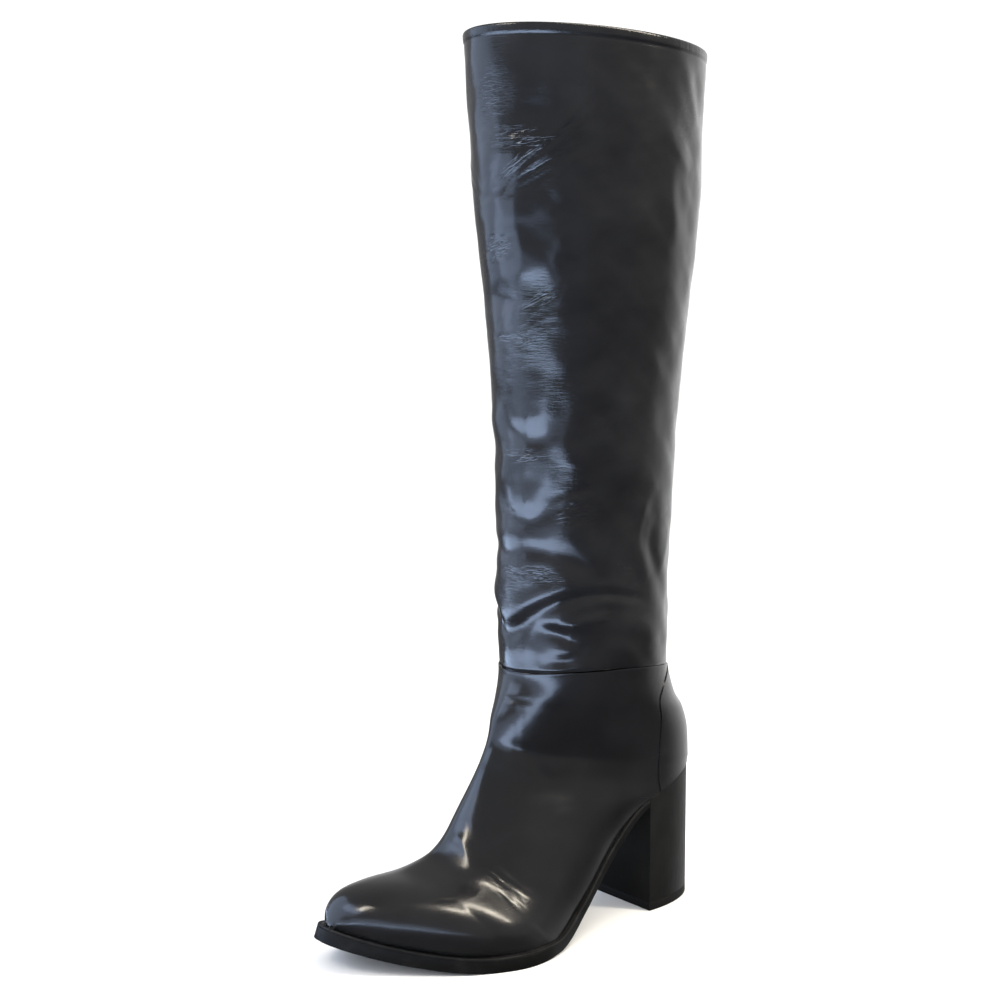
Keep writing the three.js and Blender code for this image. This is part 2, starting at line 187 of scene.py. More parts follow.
def curve(at, value):
    """A smooth curve through values at rising places, without overshoot."""
    width = np.diff(at)
    step = np.diff(value) / width
    both = step[:-1] * step[1:]
    total = np.where(both > 0, step[:-1] + step[1:], 1)
    slope = np.concatenate([step[:1], np.where(both > 0, 2 * both / total, 0), step[-1:]])

    def value_at(place):
        i = np.clip(np.searchsorted(at, place, side="right") - 1, 0, len(width) - 1)
        t = np.clip((place - at[i]) / width[i], 0, 1)
        s = 1 - t
        ends = s * s * (1 + 2 * t) * value[i] + t * t * (1 + 2 * s) * value[i + 1]
        return ends + s * t * width[i] * (s * slope[i] - t * slope[i + 1])

    return value_at


def eased(values, width, axis=0, closed=False):
    """Values smoothed along one axis with a bell of the given width in steps, their ends kept."""
    reach = int(math.ceil(3 * width))
    weights = np.exp(-0.5 * (np.arange(-reach, reach + 1) / width) ** 2)
    weights /= weights.sum()
    values = np.moveaxis(np.asarray(values, float), axis, 0)
    if closed:
        padded = np.concatenate([values[-reach:], values, values[:reach]])
    else:
        before = 2 * values[:1] - values[reach:0:-1]
        after = 2 * values[-1:] - values[-2:-reach - 2:-1]
        padded = np.concatenate([before, values, after])
    count = len(values)
    result = sum(w * padded[k:k + count] for k, w in enumerate(weights))
    return np.moveaxis(result, 0, axis)


def bed_height(place):
    """Height of the upper's lower edge above the floor, at a place ahead of the heel's back."""
    place = np.asarray(place, float)
    run = SHANK_END - HEEL_LENGTH
    t = np.clip((place - HEEL_LENGTH) / run, 0, 1)
    s = 1 - t
    drop = s * s * (1 + 2 * t) * (BREAST_HEIGHT - BED_LOW) - s * s * t * run * SEAT_SLOPE
    spring = np.clip((place - TREAD_END) / (SOLE_LENGTH - TREAD_END), 0, None)
    seat = HEEL_HEIGHT - SEAT_SLOPE * place
    return np.where(place <= HEEL_LENGTH, seat, BED_LOW + drop + TOE_SPRING * spring ** SPRING_POWER)


def bed_point(place, lift):
    """Y and Z at a lift from the bed, square to it."""
    step = 0.0005
    slope = (bed_height(place + step) - bed_height(place - step)) / (2 * step)
    long = np.hypot(1, slope)
    return BACK - place + lift * slope / long, bed_height(place) + lift / long


MIDDLE_LINE = curve(column(OUTLINE, "place"), column(OUTLINE, "centre"))
HALF_LINE = curve(column(OUTLINE, "place"), column(OUTLINE, "half"))


def sole_sides(place, inset):
    """The sole's outer and inner side at a place, set in by a margin."""
    length = SOLE_LENGTH - inset
    back = np.clip((HEEL_LENGTH - place) / (HEEL_LENGTH - inset), 0, 1)
    toe = np.clip((place - TOE_CURL) / (length - TOE_CURL), 0, 1)
    half = (HALF_LINE(place / SOLE_LENGTH) * BALL_WIDTH - inset) * np.sqrt(1 - back ** 2)
    centre = MIDDLE + MIDDLE_LINE(place / SOLE_LENGTH) * BALL_WIDTH
    return centre + half * (1 - toe ** 2) ** 0.5, centre - half * (1 - toe ** INNER_TOE) ** (1 / INNER_TOE)


# The sole's margin grows over this share of its length at the waist, and from and over these at the ball
WAIST_RUN = 0.1
BALL_START = 0.4
BALL_RUN = 0.2


def margin(place):
    """How far the sole stands out past the upper."""
    waist = np.clip((place - HEEL_LENGTH) / (WAIST_RUN * SOLE_LENGTH), 0, 1)
    ball = np.clip((place / SOLE_LENGTH - BALL_START) / BALL_RUN, 0, 1)
    return WAIST_MARGIN * waist + (SOLE_MARGIN - WAIST_MARGIN) * ball


def sole_thickness(place):
    """Thickness of the outsole's edge."""
    t = np.clip((place - EDGE_START) / (TREAD_START - EDGE_START), 0, 1)
    return WAIST_SOLE + (FORE_SOLE - WAIST_SOLE) * t * t * (3 - 2 * t)


# Rows of sections: how many the leg has, and the numbers of the last one and of the first on the heel seat
LEG_ROWS = len(LEG) - 1
LAST_ROW = LEG_ROWS + len(FOOT) - 2
SEAT_ROW = LEG_ROWS + 4

# Samples to each row, the width of their easing in rows, the shares of the climb that belly out and that
# round the back, and the least belly
FINE = 60
EASING = 0.3
LOW_SHARE = 0.42
BACK_SHARE = 0.03
LEAST_BELLY = 0.0001


def section_table():
    """Every value of the sections, from above the collar to the toe, finely sampled and eased."""
    level = column(LEG, "height") * BOOT_HEIGHT
    middle = LEG_CENTRE - column(LEG, "shift") * COLLAR_LENGTH
    half = 0.5 * column(LEG, "length") * COLLAR_LENGTH
    side = 0.5 * column(LEG, "width") * COLLAR_WIDTH
    place = column(FOOT, "place") * SOLE_LENGTH
    raised = column(FOOT, "raised")
    on_bed = raised == 0
    foot_out, foot_in = sole_sides(place, margin(place))
    low_y, low_z = bed_point(place, 0)
    joined = {
        "place": (0 * level, place),
        "back_y": (BACK - middle + half, low_y),
        "back_z": (level, low_z + raised * ANKLE_HEIGHT),
        "front_y": (BACK - middle - half, BACK - column(FOOT, "top") * SOLE_LENGTH),
        "front_z": (level, column(FOOT, "height") * ANKLE_HEIGHT),
        "foot_out": (0 * level + MIDDLE + BACK_FLAT, np.where(on_bed, foot_out, MIDDLE + BACK_FLAT)),
        "foot_in": (0 * level + MIDDLE - BACK_FLAT, np.where(on_bed, foot_in, MIDDLE - BACK_FLAT)),
        "belly_out": (MIDDLE + side, MIDDLE + column(FOOT, "out") * BALL_WIDTH),
        "belly_in": (MIDDLE - side, MIDDLE - column(FOOT, "in") * BALL_WIDTH),
        "belly": (0 * level + 0.5, column(FOOT, "belly")),
        "round": (0 * level + 2, column(FOOT, "round")),
        "ridge": (0 * level + MIDDLE, MIDDLE + column(FOOT, "ridge") * BALL_WIDTH),
    }
    at = np.arange(LAST_ROW + 1.0)
    fine = np.linspace(0, LAST_ROW, LAST_ROW * FINE + 1)
    table = {}
    for name, parts in joined.items():
        values = curve(at, np.concatenate(parts))(fine)
        kept = ("place", "back_y", "back_z", "foot_out", "foot_in")
        table[name] = values if name in kept else eased(values, EASING * FINE)
    seated = fine >= SEAT_ROW
    places = table["place"][seated]
    table["back_y"][seated], table["back_z"][seated] = bed_point(places, 0)
    table["foot_out"][seated], table["foot_in"][seated] = sole_sides(places, margin(places))
    return fine, table


SECTION_AT, SECTION = section_table()


def skin(row, side, climb):
    """Points of the boot's outer face.

    Row runs down the sections, side is 1 outside and -1 inside, and climb goes from 0 at the lower edge to 1
    at the front or top. Below 0 it rounds the back to its middle.
    """
    row, side, climb = np.broadcast_arrays(np.asarray(row, float), side, climb)
    s = {name: np.interp(row, SECTION_AT, values) for name, values in SECTION.items()}
    outer = side > 0
    middle = 0.5 * (s["foot_out"] + s["foot_in"])
    foot = np.where(outer, s["foot_out"] - middle, middle - s["foot_in"])
    reach = np.where(outer, s["belly_out"] - middle, middle - s["belly_in"])
    reach = np.maximum(foot + LEAST_BELLY, reach)
    start = np.arcsin(foot / reach)
    over = climb / LOW_SHARE
    angle = np.where(climb < 0, start * (1 + climb / BACK_SHARE), start + (0.5 * np.pi - start) * over)
    high = 0.5 * np.pi * np.clip((climb - LOW_SHARE) / (1 - LOW_SHARE), 0, 1)
    edge = middle + side * reach
    rising = climb < LOW_SHARE
    power = 2 / s["round"]
    across = np.where(
        rising,
        middle + side * reach * np.sin(angle),
        s["ridge"] + (edge - s["ridge"]) * np.maximum(0, np.cos(high)) ** power,
    )
    along = np.where(
        rising,
        s["belly"] * (1 - np.cos(angle) / np.cos(start)),
        s["belly"] + (1 - s["belly"]) * np.sin(high) ** power,
    )
    return np.stack([
        across,
        s["back_y"] + (s["front_y"] - s["back_y"]) * along,
        s["back_z"] + (s["front_z"] - s["back_z"]) * along,
    ], -1)


def side_and_climb(turn):
    """Side and climb for a turn: 0 at the lower outer edge, 0.5 at the front, 1 at the lower inner edge."""
    side = np.where(turn <= 0.5, 1, -1)
    return side, np.where(turn <= 0.5, 2 * turn, 2 * (1 - turn))


HALVINGS = 34


def row_where(function, side, climb, low, high):
    """The row between low and high where a falling function of the point is zero."""
    side, climb = np.broadcast_arrays(side, climb)
    low = np.broadcast_to(low, climb.shape).astype(float)
    high = np.broadcast_to(high, climb.shape).astype(float)
    for _ in range(HALVINGS):
        middle = 0.5 * (low + high)
        above = function(skin(middle, side, climb)) > 0
        low = np.where(above, middle, low)
        high = np.where(above, high, middle)
    return 0.5 * (low + high)


def top_line(point):
    """Height of the collar's edge over a point."""
    ahead = BACK - point[..., 1] - LEG_CENTRE + 0.5 * COLLAR_LENGTH
    return BOOT_HEIGHT - COLLAR_DROP * (1 - ahead / COLLAR_LENGTH)


def ankle_line(point):
    """Height of the ankle seam over a point."""
    ahead = BACK - point[..., 1] - LEG_CENTRE
    across = (point[..., 0] - MIDDLE) / ANKLE_HALF_WIDTH
    return ANKLE_HEIGHT + ANKLE_RISE * ahead / (0.5 * ANKLE_LENGTH) + ANKLE_ARCH * across ** 2


def ankle_row(side, climb, lift):
    """The row where each climb meets the ankle seam, at a small lift from it."""
    return row_where(lambda p: p[..., 2] - ankle_line(p) - lift, side, climb, LEG_ROWS - 2, LEG_ROWS + 2)


def normals(points, closed):
    """Outward unit normals of a grid of points, closed round its second axis or open."""
    down = np.gradient(points, axis=0)
    if closed:
        round_ = 0.5 * (np.roll(points, -1, 1) - np.roll(points, 1, 1))
    else:
        round_ = np.gradient(points, axis=1)
    normal = np.cross(round_, down)
    length = np.linalg.norm(normal, axis=-1, keepdims=True)
    normal = normal / np.maximum(length, 1e-12)
    away = points - points.mean(axis=1, keepdims=True)
    return normal if (normal * away).sum() > 0 else -normal


def deselect():
    """Leaves nothing selected."""
    for obj in bpy.context.selected_objects:
        obj.select_set(False)


def use(obj):
    """Makes one object the selected and active one."""
    deselect()
    obj.select_set(True)
    bpy.context.view_layer.objects.active = obj
    return obj


def apply(obj, kind, **values):
    """Adds a modifier with these values and applies it."""
    use(obj)
    modifier = obj.modifiers.new(kind.title(), kind)
    for name, value in values.items():
        setattr(modifier, name, value)
    bpy.ops.object.modifier_apply(modifier=modifier.name)


def edit(obj, *steps):
    """Runs edit-mode steps on a whole object."""
    use(obj)
    bpy.ops.object.mode_set(mode="EDIT")
    bpy.ops.mesh.select_all(action="SELECT")
    for step in steps:
        step()
    bpy.ops.object.mode_set(mode="OBJECT")


WELD_REACH = 0.000002


def weld(reach=WELD_REACH):
    """Merges doubled vertices of what is selected."""
    bpy.ops.mesh.remove_doubles(threshold=reach)


def outwards():
    """Turns the selected faces outwards."""
    bpy.ops.mesh.normals_make_consistent(inside=False)


def fill_ends():
    """Fills the open ends of a piece and leaves it selected all over."""
    bpy.ops.mesh.select_all(action="DESELECT")
    bpy.ops.mesh.select_non_manifold()
    bpy.ops.mesh.edge_face_add()
    bpy.ops.mesh.select_all(action="SELECT")


def sheet(name, points):
    """A grid primitive with one vertex for each point of an array, shaped to the points."""
    rows, columns = points.shape[:2]
    deselect()
    bpy.ops.mesh.primitive_grid_add(x_subdivisions=columns - 1, y_subdivisions=rows - 1, size=1)
    obj = bpy.context.object
    obj.name = name
    obj.data.name = name
    obj.data.vertices.foreach_set("co", points.reshape(-1))
    obj.data.update()
    return obj


def around(points):
    """Points with the first column repeated at the end, so that a ring closes."""
    return np.concatenate([points, points[:, :1]], 1)


def smooth(obj, angle=40):
    """Shades a piece smooth, except over edges sharper than an angle in degrees."""
    use(obj)
    bpy.ops.object.shade_smooth_by_angle(angle=math.radians(angle))


def finish(obj, material, slot_name, *nodes):
    """Gives a piece its material, lets it ride on the boot and stand for its nodes. Its slot name is not
    used.
    """
    obj.data.materials.clear()
    obj.data.materials.append(material)
    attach(obj, "root")
    if nodes:
        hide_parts(*nodes)
    return obj


# Columns of the leg lie closer together round this turn: how much closer, and over which width
CLOSE_TURN = 0.43
CLOSE_WIDTH = 0.13
CLOSE_GAIN = 1.3
BACK_COLUMNS = 4
RING_SAMPLES = 2001


def ring_columns(count):
    """Sides and climbs round the leg, from the middle of the back by the outer side and front to the back.

    They lie closer together at the front and outer side, where the creases are finest.
    """
    fine = np.linspace(0, 1, RING_SAMPLES)
    close = 1 + CLOSE_GAIN * np.exp(-((fine - CLOSE_TURN) / CLOSE_WIDTH) ** 2)
    run = np.concatenate([[0], np.cumsum(0.5 * (close[1:] + close[:-1]))])
    turn = np.interp(np.linspace(0, run[-1], count), run, fine)
    side, climb = side_and_climb(turn)
    back = -BACK_SHARE * np.linspace(1, 0, BACK_COLUMNS + 1)
    side = np.concatenate([np.ones(BACK_COLUMNS), side, -np.ones(BACK_COLUMNS - 1)])
    return side, np.concatenate([back[:-1], climb, back[-2:0:-1]])


def moved(points, lift, closed):
    """Points moved along their normals by a lift, a number or an array."""
    return points + normals(points, closed) * np.asarray(lift)[..., None]


# Creases of the leg. Start, middle and end are (turn, share of the height). Width, depth of the trough and
# rise of the rolls above and below it are millimetres, before the share that the crease depth leaves of
# them, and a depth below 0 is a ridge.
LEG_CREASES = (
    ("start", "middle", "end", "width", "depth", "above", "below"),
    # Upper front: one long slanting crease with its neighbours
    ((0.538, 0.814), (0.406, 0.858), (0.301, 0.923), 1.3, 0.45, 0.3, 0.4),
    ((0.525, 0.816), (0.425, 0.839), (0.335, 0.869), 1.5, 0.4, 0.2, 0.35),
    ((0.47, 0.82), (0.389, 0.841), (0.319, 0.873), 1.6, 0.3, 0.2, 0.2),
    ((0.442, 0.869), (0.379, 0.886), (0.334, 0.898), 1.2, 0.25, 0.2, 0.15),
    ((0.55, 0.83), (0.45, 0.86), (0.36, 0.9), 9.0, -0.5, 0.0, 0.0),
    ((0.56, 0.80), (0.47, 0.80), (0.39, 0.83), 9.0, -0.5, 0.0, 0.0),
    # Fine level wrinkles under the collar and at the shin
    ((0.54, 0.897), (0.431, 0.888), (0.356, 0.89), 1.3, 0.25, 0.15, 0.15),
    ((0.53, 0.879), (0.442, 0.873), (0.38, 0.877), 1.3, 0.22, 0.15, 0.1),
    ((0.545, 0.948), (0.5, 0.944), (0.47, 0.95), 1.4, 0.2, 0.1, 0.1),
    ((0.529, 0.778), (0.484, 0.776), (0.453, 0.78), 1.3, 0.25, 0.15, 0.15),
    ((0.54, 0.763), (0.481, 0.759), (0.45, 0.763), 1.3, 0.25, 0.15, 0.15),
    ((0.468, 0.685), (0.442, 0.691), (0.424, 0.698), 1.3, 0.3, 0.2, 0.2),
    ((0.442, 0.7), (0.42, 0.704), (0.407, 0.71), 1.3, 0.3, 0.2, 0.2),
    ((0.376, 0.71), (0.362, 0.719), (0.351, 0.727), 1.2, 0.3, 0.2, 0.2),
    ((0.401, 0.683), (0.381, 0.687), (0.361, 0.689), 1.4, 0.3, 0.2, 0.2),
    ((0.533, 0.672), (0.466, 0.666), (0.413, 0.657), 2.0, 0.35, 0.2, 0.2),
    # Soft waves down the front
    ((0.56, 0.745), (0.46, 0.738), (0.38, 0.75), 10.0, -0.6, 0.0, 0.0),
    ((0.6, 0.70), (0.52, 0.712), (0.44, 0.704), 7.0, 1.2, 0.0, 0.0),
    # Drooping bulges of the front, each over a soft trough
    ((0.55, 0.6), (0.423, 0.563), (0.35, 0.612), 7.5, 2.3, 0.0, 0.0),
    ((0.556, 0.512), (0.434, 0.472), (0.35, 0.534), 7.0, 2.0, 0.0, 0.0),
    ((0.396, 0.494), (0.334, 0.503), (0.295, 0.506), 2.2, 0.25, 0.1, 0.15),
    ((0.385, 0.481), (0.345, 0.487), (0.315, 0.483), 1.6, 0.35, 0.25, 0.25),
    # The slouch over the ankle: a trough, a fold that runs down to the front, and creases that gather behind
    ((0.54, 0.43), (0.4, 0.437), (0.29, 0.41), 5.5, 1.35, 0.0, 0.3),
    ((0.335, 0.408), (0.42, 0.383), (0.53, 0.352), 5.5, -1.6, 0.0, 0.0),
    ((0.285, 0.388), (0.406, 0.370), (0.51, 0.331), 4.8, 2.0, 0.1, 0.2),
    ((0.36, 0.377), (0.279, 0.388), (0.17, 0.375), 2.4, 1.2, 0.4, 0.6),
    ((0.365, 0.355), (0.309, 0.358), (0.255, 0.364), 3.2, -1.1, 0.0, 0.0),
    ((0.42, 0.353), (0.36, 0.343), (0.3, 0.326), 4.0, 1.2, 0.0, 0.15),
    ((0.3, 0.325), (0.35, 0.315), (0.41, 0.309), 4.0, 0.9, 0.0, 0.1),
    ((0.54, 0.349), (0.45, 0.348), (0.34, 0.342), 7.0, 1.8, 0.0, 0.0),
    ((0.52, 0.345), (0.515, 0.325), (0.52, 0.31), 4.0, -0.5, 0.0, 0.0),
    ((0.27, 0.345), (0.22, 0.335), (0.17, 0.34), 5.0, 0.6, 0.3, 0.3),
    # Soft folds at the outer back
    ((0.166, 0.975), (0.15, 0.945), (0.129, 0.9), 4.5, -0.8, 0.0, 0.0),
    ((0.14, 0.97), (0.125, 0.94), (0.11, 0.9), 4.5, 0.7, 0.0, 0.0),
    ((0.195, 0.9), (0.165, 0.87), (0.14, 0.85), 4.0, -0.9, 0.0, 0.0),
    ((0.17, 0.905), (0.145, 0.885), (0.12, 0.86), 4.5, 1.0, 0.0, 0.0),
    ((0.175, 0.865), (0.17, 0.81), (0.16, 0.75), 6.0, -0.8, 0.0, 0.0),
    ((0.13, 0.85), (0.13, 0.78), (0.12, 0.7), 7.0, 0.7, 0.0, 0.0),
    ((0.16, 0.51), (0.2, 0.45), (0.17, 0.40), 5.0, -1.2, 0.0, 0.0),
    ((0.205, 0.447), (0.225, 0.435), (0.24, 0.41), 4.0, -0.6, 0.0, 0.0),
    ((0.144, 0.468), (0.165, 0.43), (0.113, 0.375), 5.0, 1.1, 0.0, 0.2),
    ((0.1, 0.45), (0.12, 0.43), (0.14, 0.40), 4.0, -0.6, 0.0, 0.0),
    # The back and the inner side, which gather at the same heights
    ((0.1, 0.402), (0.0, 0.4), (-0.012, 0.4), 6.0, 1.6, 0.0, 0.0),
    ((0.1, 0.36), (0.03, 0.357), (0.0, 0.357), 6.0, -1.0, 0.0, 0.0),
    ((0.9, 0.41), (0.97, 0.4), (1.005, 0.4), 6.0, 1.5, 0.0, 0.0),
    ((0.88, 0.365), (0.96, 0.357), (1.0, 0.357), 6.0, -1.0, 0.0, 0.0),
    ((0.5, 0.43), (0.6, 0.437), (0.72, 0.405), 5.0, 1.5, 0.4, 0.5),
    ((0.52, 0.36), (0.6, 0.388), (0.7, 0.402), 7.0, -1.8, 0.0, 0.0),
    ((0.51, 0.338), (0.6, 0.37), (0.72, 0.383), 3.8, 1.6, 0.2, 0.5),
    ((0.68, 0.372), (0.76, 0.382), (0.84, 0.366), 2.4, 0.9, 0.4, 0.4),
    ((0.57, 0.35), (0.65, 0.34), (0.73, 0.322), 3.4, 1.1, 0.3, 0.4),
    ((0.55, 0.505), (0.62, 0.482), (0.7, 0.52), 6.5, -1.2, 0.0, 0.0),
    ((0.53, 0.6), (0.62, 0.575), (0.7, 0.61), 6.5, -1.0, 0.0, 0.0),
    ((0.55, 0.56), (0.63, 0.545), (0.72, 0.57), 6.0, 0.9, 0.0, 0.0),
    ((0.52, 0.82), (0.62, 0.86), (0.72, 0.91), 1.6, 0.35, 0.25, 0.3),
    ((0.56, 0.79), (0.66, 0.81), (0.75, 0.85), 8.0, -0.6, 0.0, 0.0),
    ((0.85, 0.9), (0.84, 0.84), (0.86, 0.75), 6.0, -0.8, 0.0, 0.0),
    ((0.8, 0.5), (0.78, 0.45), (0.83, 0.41), 5.0, -1.0, 0.0, 0.0),
)

# Clusters of fine wrinkles: their middle, how far they spread in turn and height, their slope as height for
# a whole turn, length in turn, how many, and width and depth in millimetres
LEG_WRINKLES = (
    ("turn", "height", "wide", "tall", "slope", "length", "count", "width", "depth"),
    (0.47, 0.889, 0.07, 0.012, -0.02, 0.05, 16, 1.0, 0.13),
    (0.39, 0.885, 0.05, 0.015, -0.25, 0.05, 10, 1.0, 0.12),
    (0.46, 0.835, 0.05, 0.012, -0.4, 0.07, 12, 1.0, 0.15),
    (0.5, 0.772, 0.04, 0.014, 0.02, 0.05, 14, 1.0, 0.14),
    (0.51, 0.93, 0.03, 0.025, 0.0, 0.035, 8, 1.0, 0.12),
    (0.45, 0.694, 0.04, 0.014, -0.35, 0.03, 12, 1.0, 0.15),
    (0.37, 0.712, 0.03, 0.015, -0.35, 0.025, 7, 1.0, 0.14),
    (0.47, 0.665, 0.05, 0.012, 0.12, 0.04, 8, 1.1, 0.14),
    (0.48, 0.645, 0.05, 0.02, 0.1, 0.04, 7, 1.1, 0.12),
    (0.345, 0.492, 0.03, 0.02, -0.12, 0.035, 10, 1.0, 0.14),
    (0.45, 0.412, 0.06, 0.006, 0.02, 0.06, 8, 1.0, 0.12),
    (0.46, 0.553, 0.06, 0.006, 0.02, 0.06, 6, 1.0, 0.1),
    (0.44, 0.46, 0.04, 0.01, 0.1, 0.04, 6, 1.0, 0.1),
    (0.62, 0.86, 0.06, 0.03, 0.3, 0.06, 12, 1.1, 0.14),
    (0.6, 0.69, 0.05, 0.02, 0.2, 0.04, 8, 1.1, 0.12),
    (0.75, 0.4, 0.06, 0.03, 0.1, 0.05, 8, 1.1, 0.14),
)

# Creases of the foot. Start, middle and end are (turn, place as a share of the sole's length), and the rest
# is as for the leg.
FOOT_CREASES = (
    ("start", "middle", "end", "width", "depth", "above", "below"),
    ((0.4, 0.53), (0.37, 0.51), (0.335, 0.485), 3.2, 0.5, 0.0, 0.2),
    ((0.5, 0.552), (0.45, 0.541), (0.41, 0.52), 1.4, 0.2, 0.15, 0.15),
    ((0.40, 0.6), (0.345, 0.506), (0.30, 0.43), 6.0, 0.7, 0.0, 0.2),
    ((0.48, 0.70), (0.44, 0.688), (0.40, 0.70), 4.0, -0.8, 0.0, 0.0),
    ((0.52, 0.725), (0.44, 0.735), (0.36, 0.72), 6.0, 0.9, 0.0, 0.0),
    ((0.405, 0.687), (0.335, 0.649), (0.255, 0.59), 0.9, 0.22, 0.12, 0.08),
    ((0.395, 0.685), (0.339, 0.665), (0.28, 0.637), 0.8, 0.16, 0.1, 0.05),
    ((0.37, 0.676), (0.32, 0.656), (0.27, 0.625), 0.6, 0.12, 0.06, 0.04),
    ((0.36, 0.68), (0.31, 0.66), (0.25, 0.645), 5.0, 0.18, 0.0, 0.0),
    ((0.33, 0.62), (0.28, 0.58), (0.23, 0.55), 6.0, -0.3, 0.0, 0.0),
    ((0.305, 0.515), (0.284, 0.475), (0.262, 0.445), 3.0, -0.4, 0.0, 0.0),
    ((0.29, 0.52), (0.268, 0.498), (0.25, 0.476), 2.0, -0.3, 0.0, 0.2),
    ((0.385, 0.83), (0.376, 0.8), (0.366, 0.775), 1.2, 0.12, 0.1, 0.0),
    ((0.57, 0.69), (0.64, 0.67), (0.72, 0.62), 1.8, 0.45, 0.3, 0.2),
    ((0.6, 0.7), (0.66, 0.69), (0.72, 0.66), 4.0, 0.6, 0.0, 0.0),
    ((0.57, 0.53), (0.61, 0.5), (0.66, 0.47), 4.0, 0.7, 0.0, 0.3),
)

# Clusters of the foot, with the place along it as their height
FOOT_WRINKLES = (
    ("turn", "height", "wide", "tall", "slope", "length", "count", "width", "depth"),
    (0.45, 0.55, 0.04, 0.008, 0.2, 0.04, 8, 1.0, 0.1),
    (0.33, 0.66, 0.04, 0.02, 0.45, 0.05, 10, 1.0, 0.1),
    (0.43, 0.675, 0.03, 0.02, -0.1, 0.03, 6, 1.0, 0.1),
    (0.66, 0.67, 0.05, 0.02, -0.4, 0.05, 8, 1.0, 0.1),
)

# Faint waves of the slack leather: length and height in metres, and the seed that turns and shifts them
LEG_WAVES = (
    ("length", "height", "seed"),
    (0.027, 0.00016, 11),
    (0.011, 0.00003, 12),
    (0.06, 0.00035, 14),
)
FOOT_WAVES = (
    ("length", "height", "seed"),
    (0.024, 0.00004, 13),
)
LEG_SEED = 4
FOOT_SEED = 7


def along_leg(flat):
    """Places on the leg for pairs of turn and share of the height."""
    turn = flat[:, 0]
    side, climb = side_and_climb(turn)
    goal = flat[:, 1] * BOOT_HEIGHT
    return skin(row_where(lambda p: p[..., 2] - goal, side, climb, 0, LEG_ROWS + 1), side, climb)


def along_foot(flat):
    """Places on the foot for pairs of turn and place as a share of the sole's length."""
    side, climb = side_and_climb(flat[:, 0])
    goal = BACK - flat[:, 1] * SOLE_LENGTH
    return skin(row_where(lambda p: p[..., 1] - goal, side, climb, LEG_ROWS + 0.5, LAST_ROW), side, climb)


def named_rows(table):
    """The rows of a table as dictionaries."""
    return [dict(zip(table[0], row)) for row in table[1:]]


# How far the strokes of a cluster differ: the spread of their places as a share of the cluster, of their
# slopes and of their bends, and the ranges of their lengths, depths and widths as shares of the cluster's
PLACE_SPREAD = 0.6
SLOPE_SPREAD = 0.08
BEND_SPREAD = 0.0025
LENGTHS = (0.5, 1.3)
DEPTHS = (0.5, 1.4)
WIDTHS = (0.8, 1.3)


def wrinkle_strokes(table, seed):
    """Short strokes scattered in the clusters of a table, always the same ones."""
    random = np.random.default_rng(seed)
    strokes = []
    for row in named_rows(table):
        for _ in range(row["count"]):
            turn = row["turn"] + row["wide"] * random.normal() * PLACE_SPREAD
            height = row["height"] + row["tall"] * random.normal() * PLACE_SPREAD
            half = 0.5 * row["length"] * random.uniform(*LENGTHS)
            slope = row["slope"] + SLOPE_SPREAD * random.normal()
            bend = BEND_SPREAD * random.normal()
            depth = row["depth"] * random.uniform(*DEPTHS)
            strokes.append({
                "start": (turn + half, height + half * slope),
                "middle": (turn, height + bend),
                "end": (turn - half, height - half * slope),
                "width": row["width"] * random.uniform(*WIDTHS),
                "depth": depth,
                "above": 0.5 * depth,
                "below": 0.5 * depth,
            })
    return strokes


# The upper side of a stroke faces this way. A stroke is a line through so many points, its rolls lie so many
# widths from its trough and are so wide, and it fades out at both ends with a power of a sine.
MILLIMETRE = 0.001
UPWARDS = np.array([0.0, -0.35, 1.0])
STROKE_POINTS = 25
STROKE_REACH = 4
ROLL_PLACE = 1.8
ROLL_WIDTH = 1.2
FADE_POWER = 0.6


def crease_lift(points, normal, strokes, path, narrowest=0.0):
    """How far each point moves along its normal for all strokes at least as wide as the narrowest."""
    lift = np.zeros(points.shape[:-1])
    for stroke in strokes:
        if stroke["width"] < narrowest:
            continue
        start, middle, end = (np.array(stroke[name]) for name in ("start", "middle", "end"))
        t = np.linspace(0, 1, STROKE_POINTS)[:, None]
        bend = 2 * middle - 0.5 * (start + end)
        line = path((1 - t) ** 2 * start + 2 * t * (1 - t) * bend + t * t * end)
        width = MILLIMETRE * stroke["width"]
        reach = STROKE_REACH * width
        near = ((points > line.min(0) - reach) & (points < line.max(0) + reach)).all(-1)
        if not near.any():
            continue
        place = points[near][:, None]
        first, step = line[:-1], np.diff(line, axis=0)
        share = ((place - first) * step).sum(-1) / np.maximum((step ** 2).sum(-1), 1e-14)
        share = np.clip(share, 0, 1)
        away = place - first - share[..., None] * step
        distance = np.linalg.norm(away, axis=-1)
        nearest = distance.argmin(1)
        pick = np.arange(len(nearest))
        across = np.cross(normal[near], step[nearest])
        across *= np.sign(across @ UPWARDS)[:, None]
        signed = distance[pick, nearest] * np.sign((away[pick, nearest] * across).sum(-1))
        run = (nearest + share[pick, nearest]) / (STROKE_POINTS - 1)
        fade = np.sin(np.pi * np.clip(run, 0, 1)) ** FADE_POWER
        over = signed / width
        shape = stroke["above"] * np.exp(-((over - ROLL_PLACE) / ROLL_WIDTH) ** 2)
        shape += stroke["below"] * np.exp(-((over + ROLL_PLACE) / ROLL_WIDTH) ** 2)
        shape -= stroke["depth"] * np.exp(-over ** 2)
        lift[near] += MILLIMETRE * fade * shape
    return lift


# How many waves are added up, how much steeper than level they may run, and the range of their lengths
WAVES = 18
WAVE_STRETCH = np.array([1.0, 1.0, 1.4])
WAVE_LENGTHS = (0.6, 1.7)


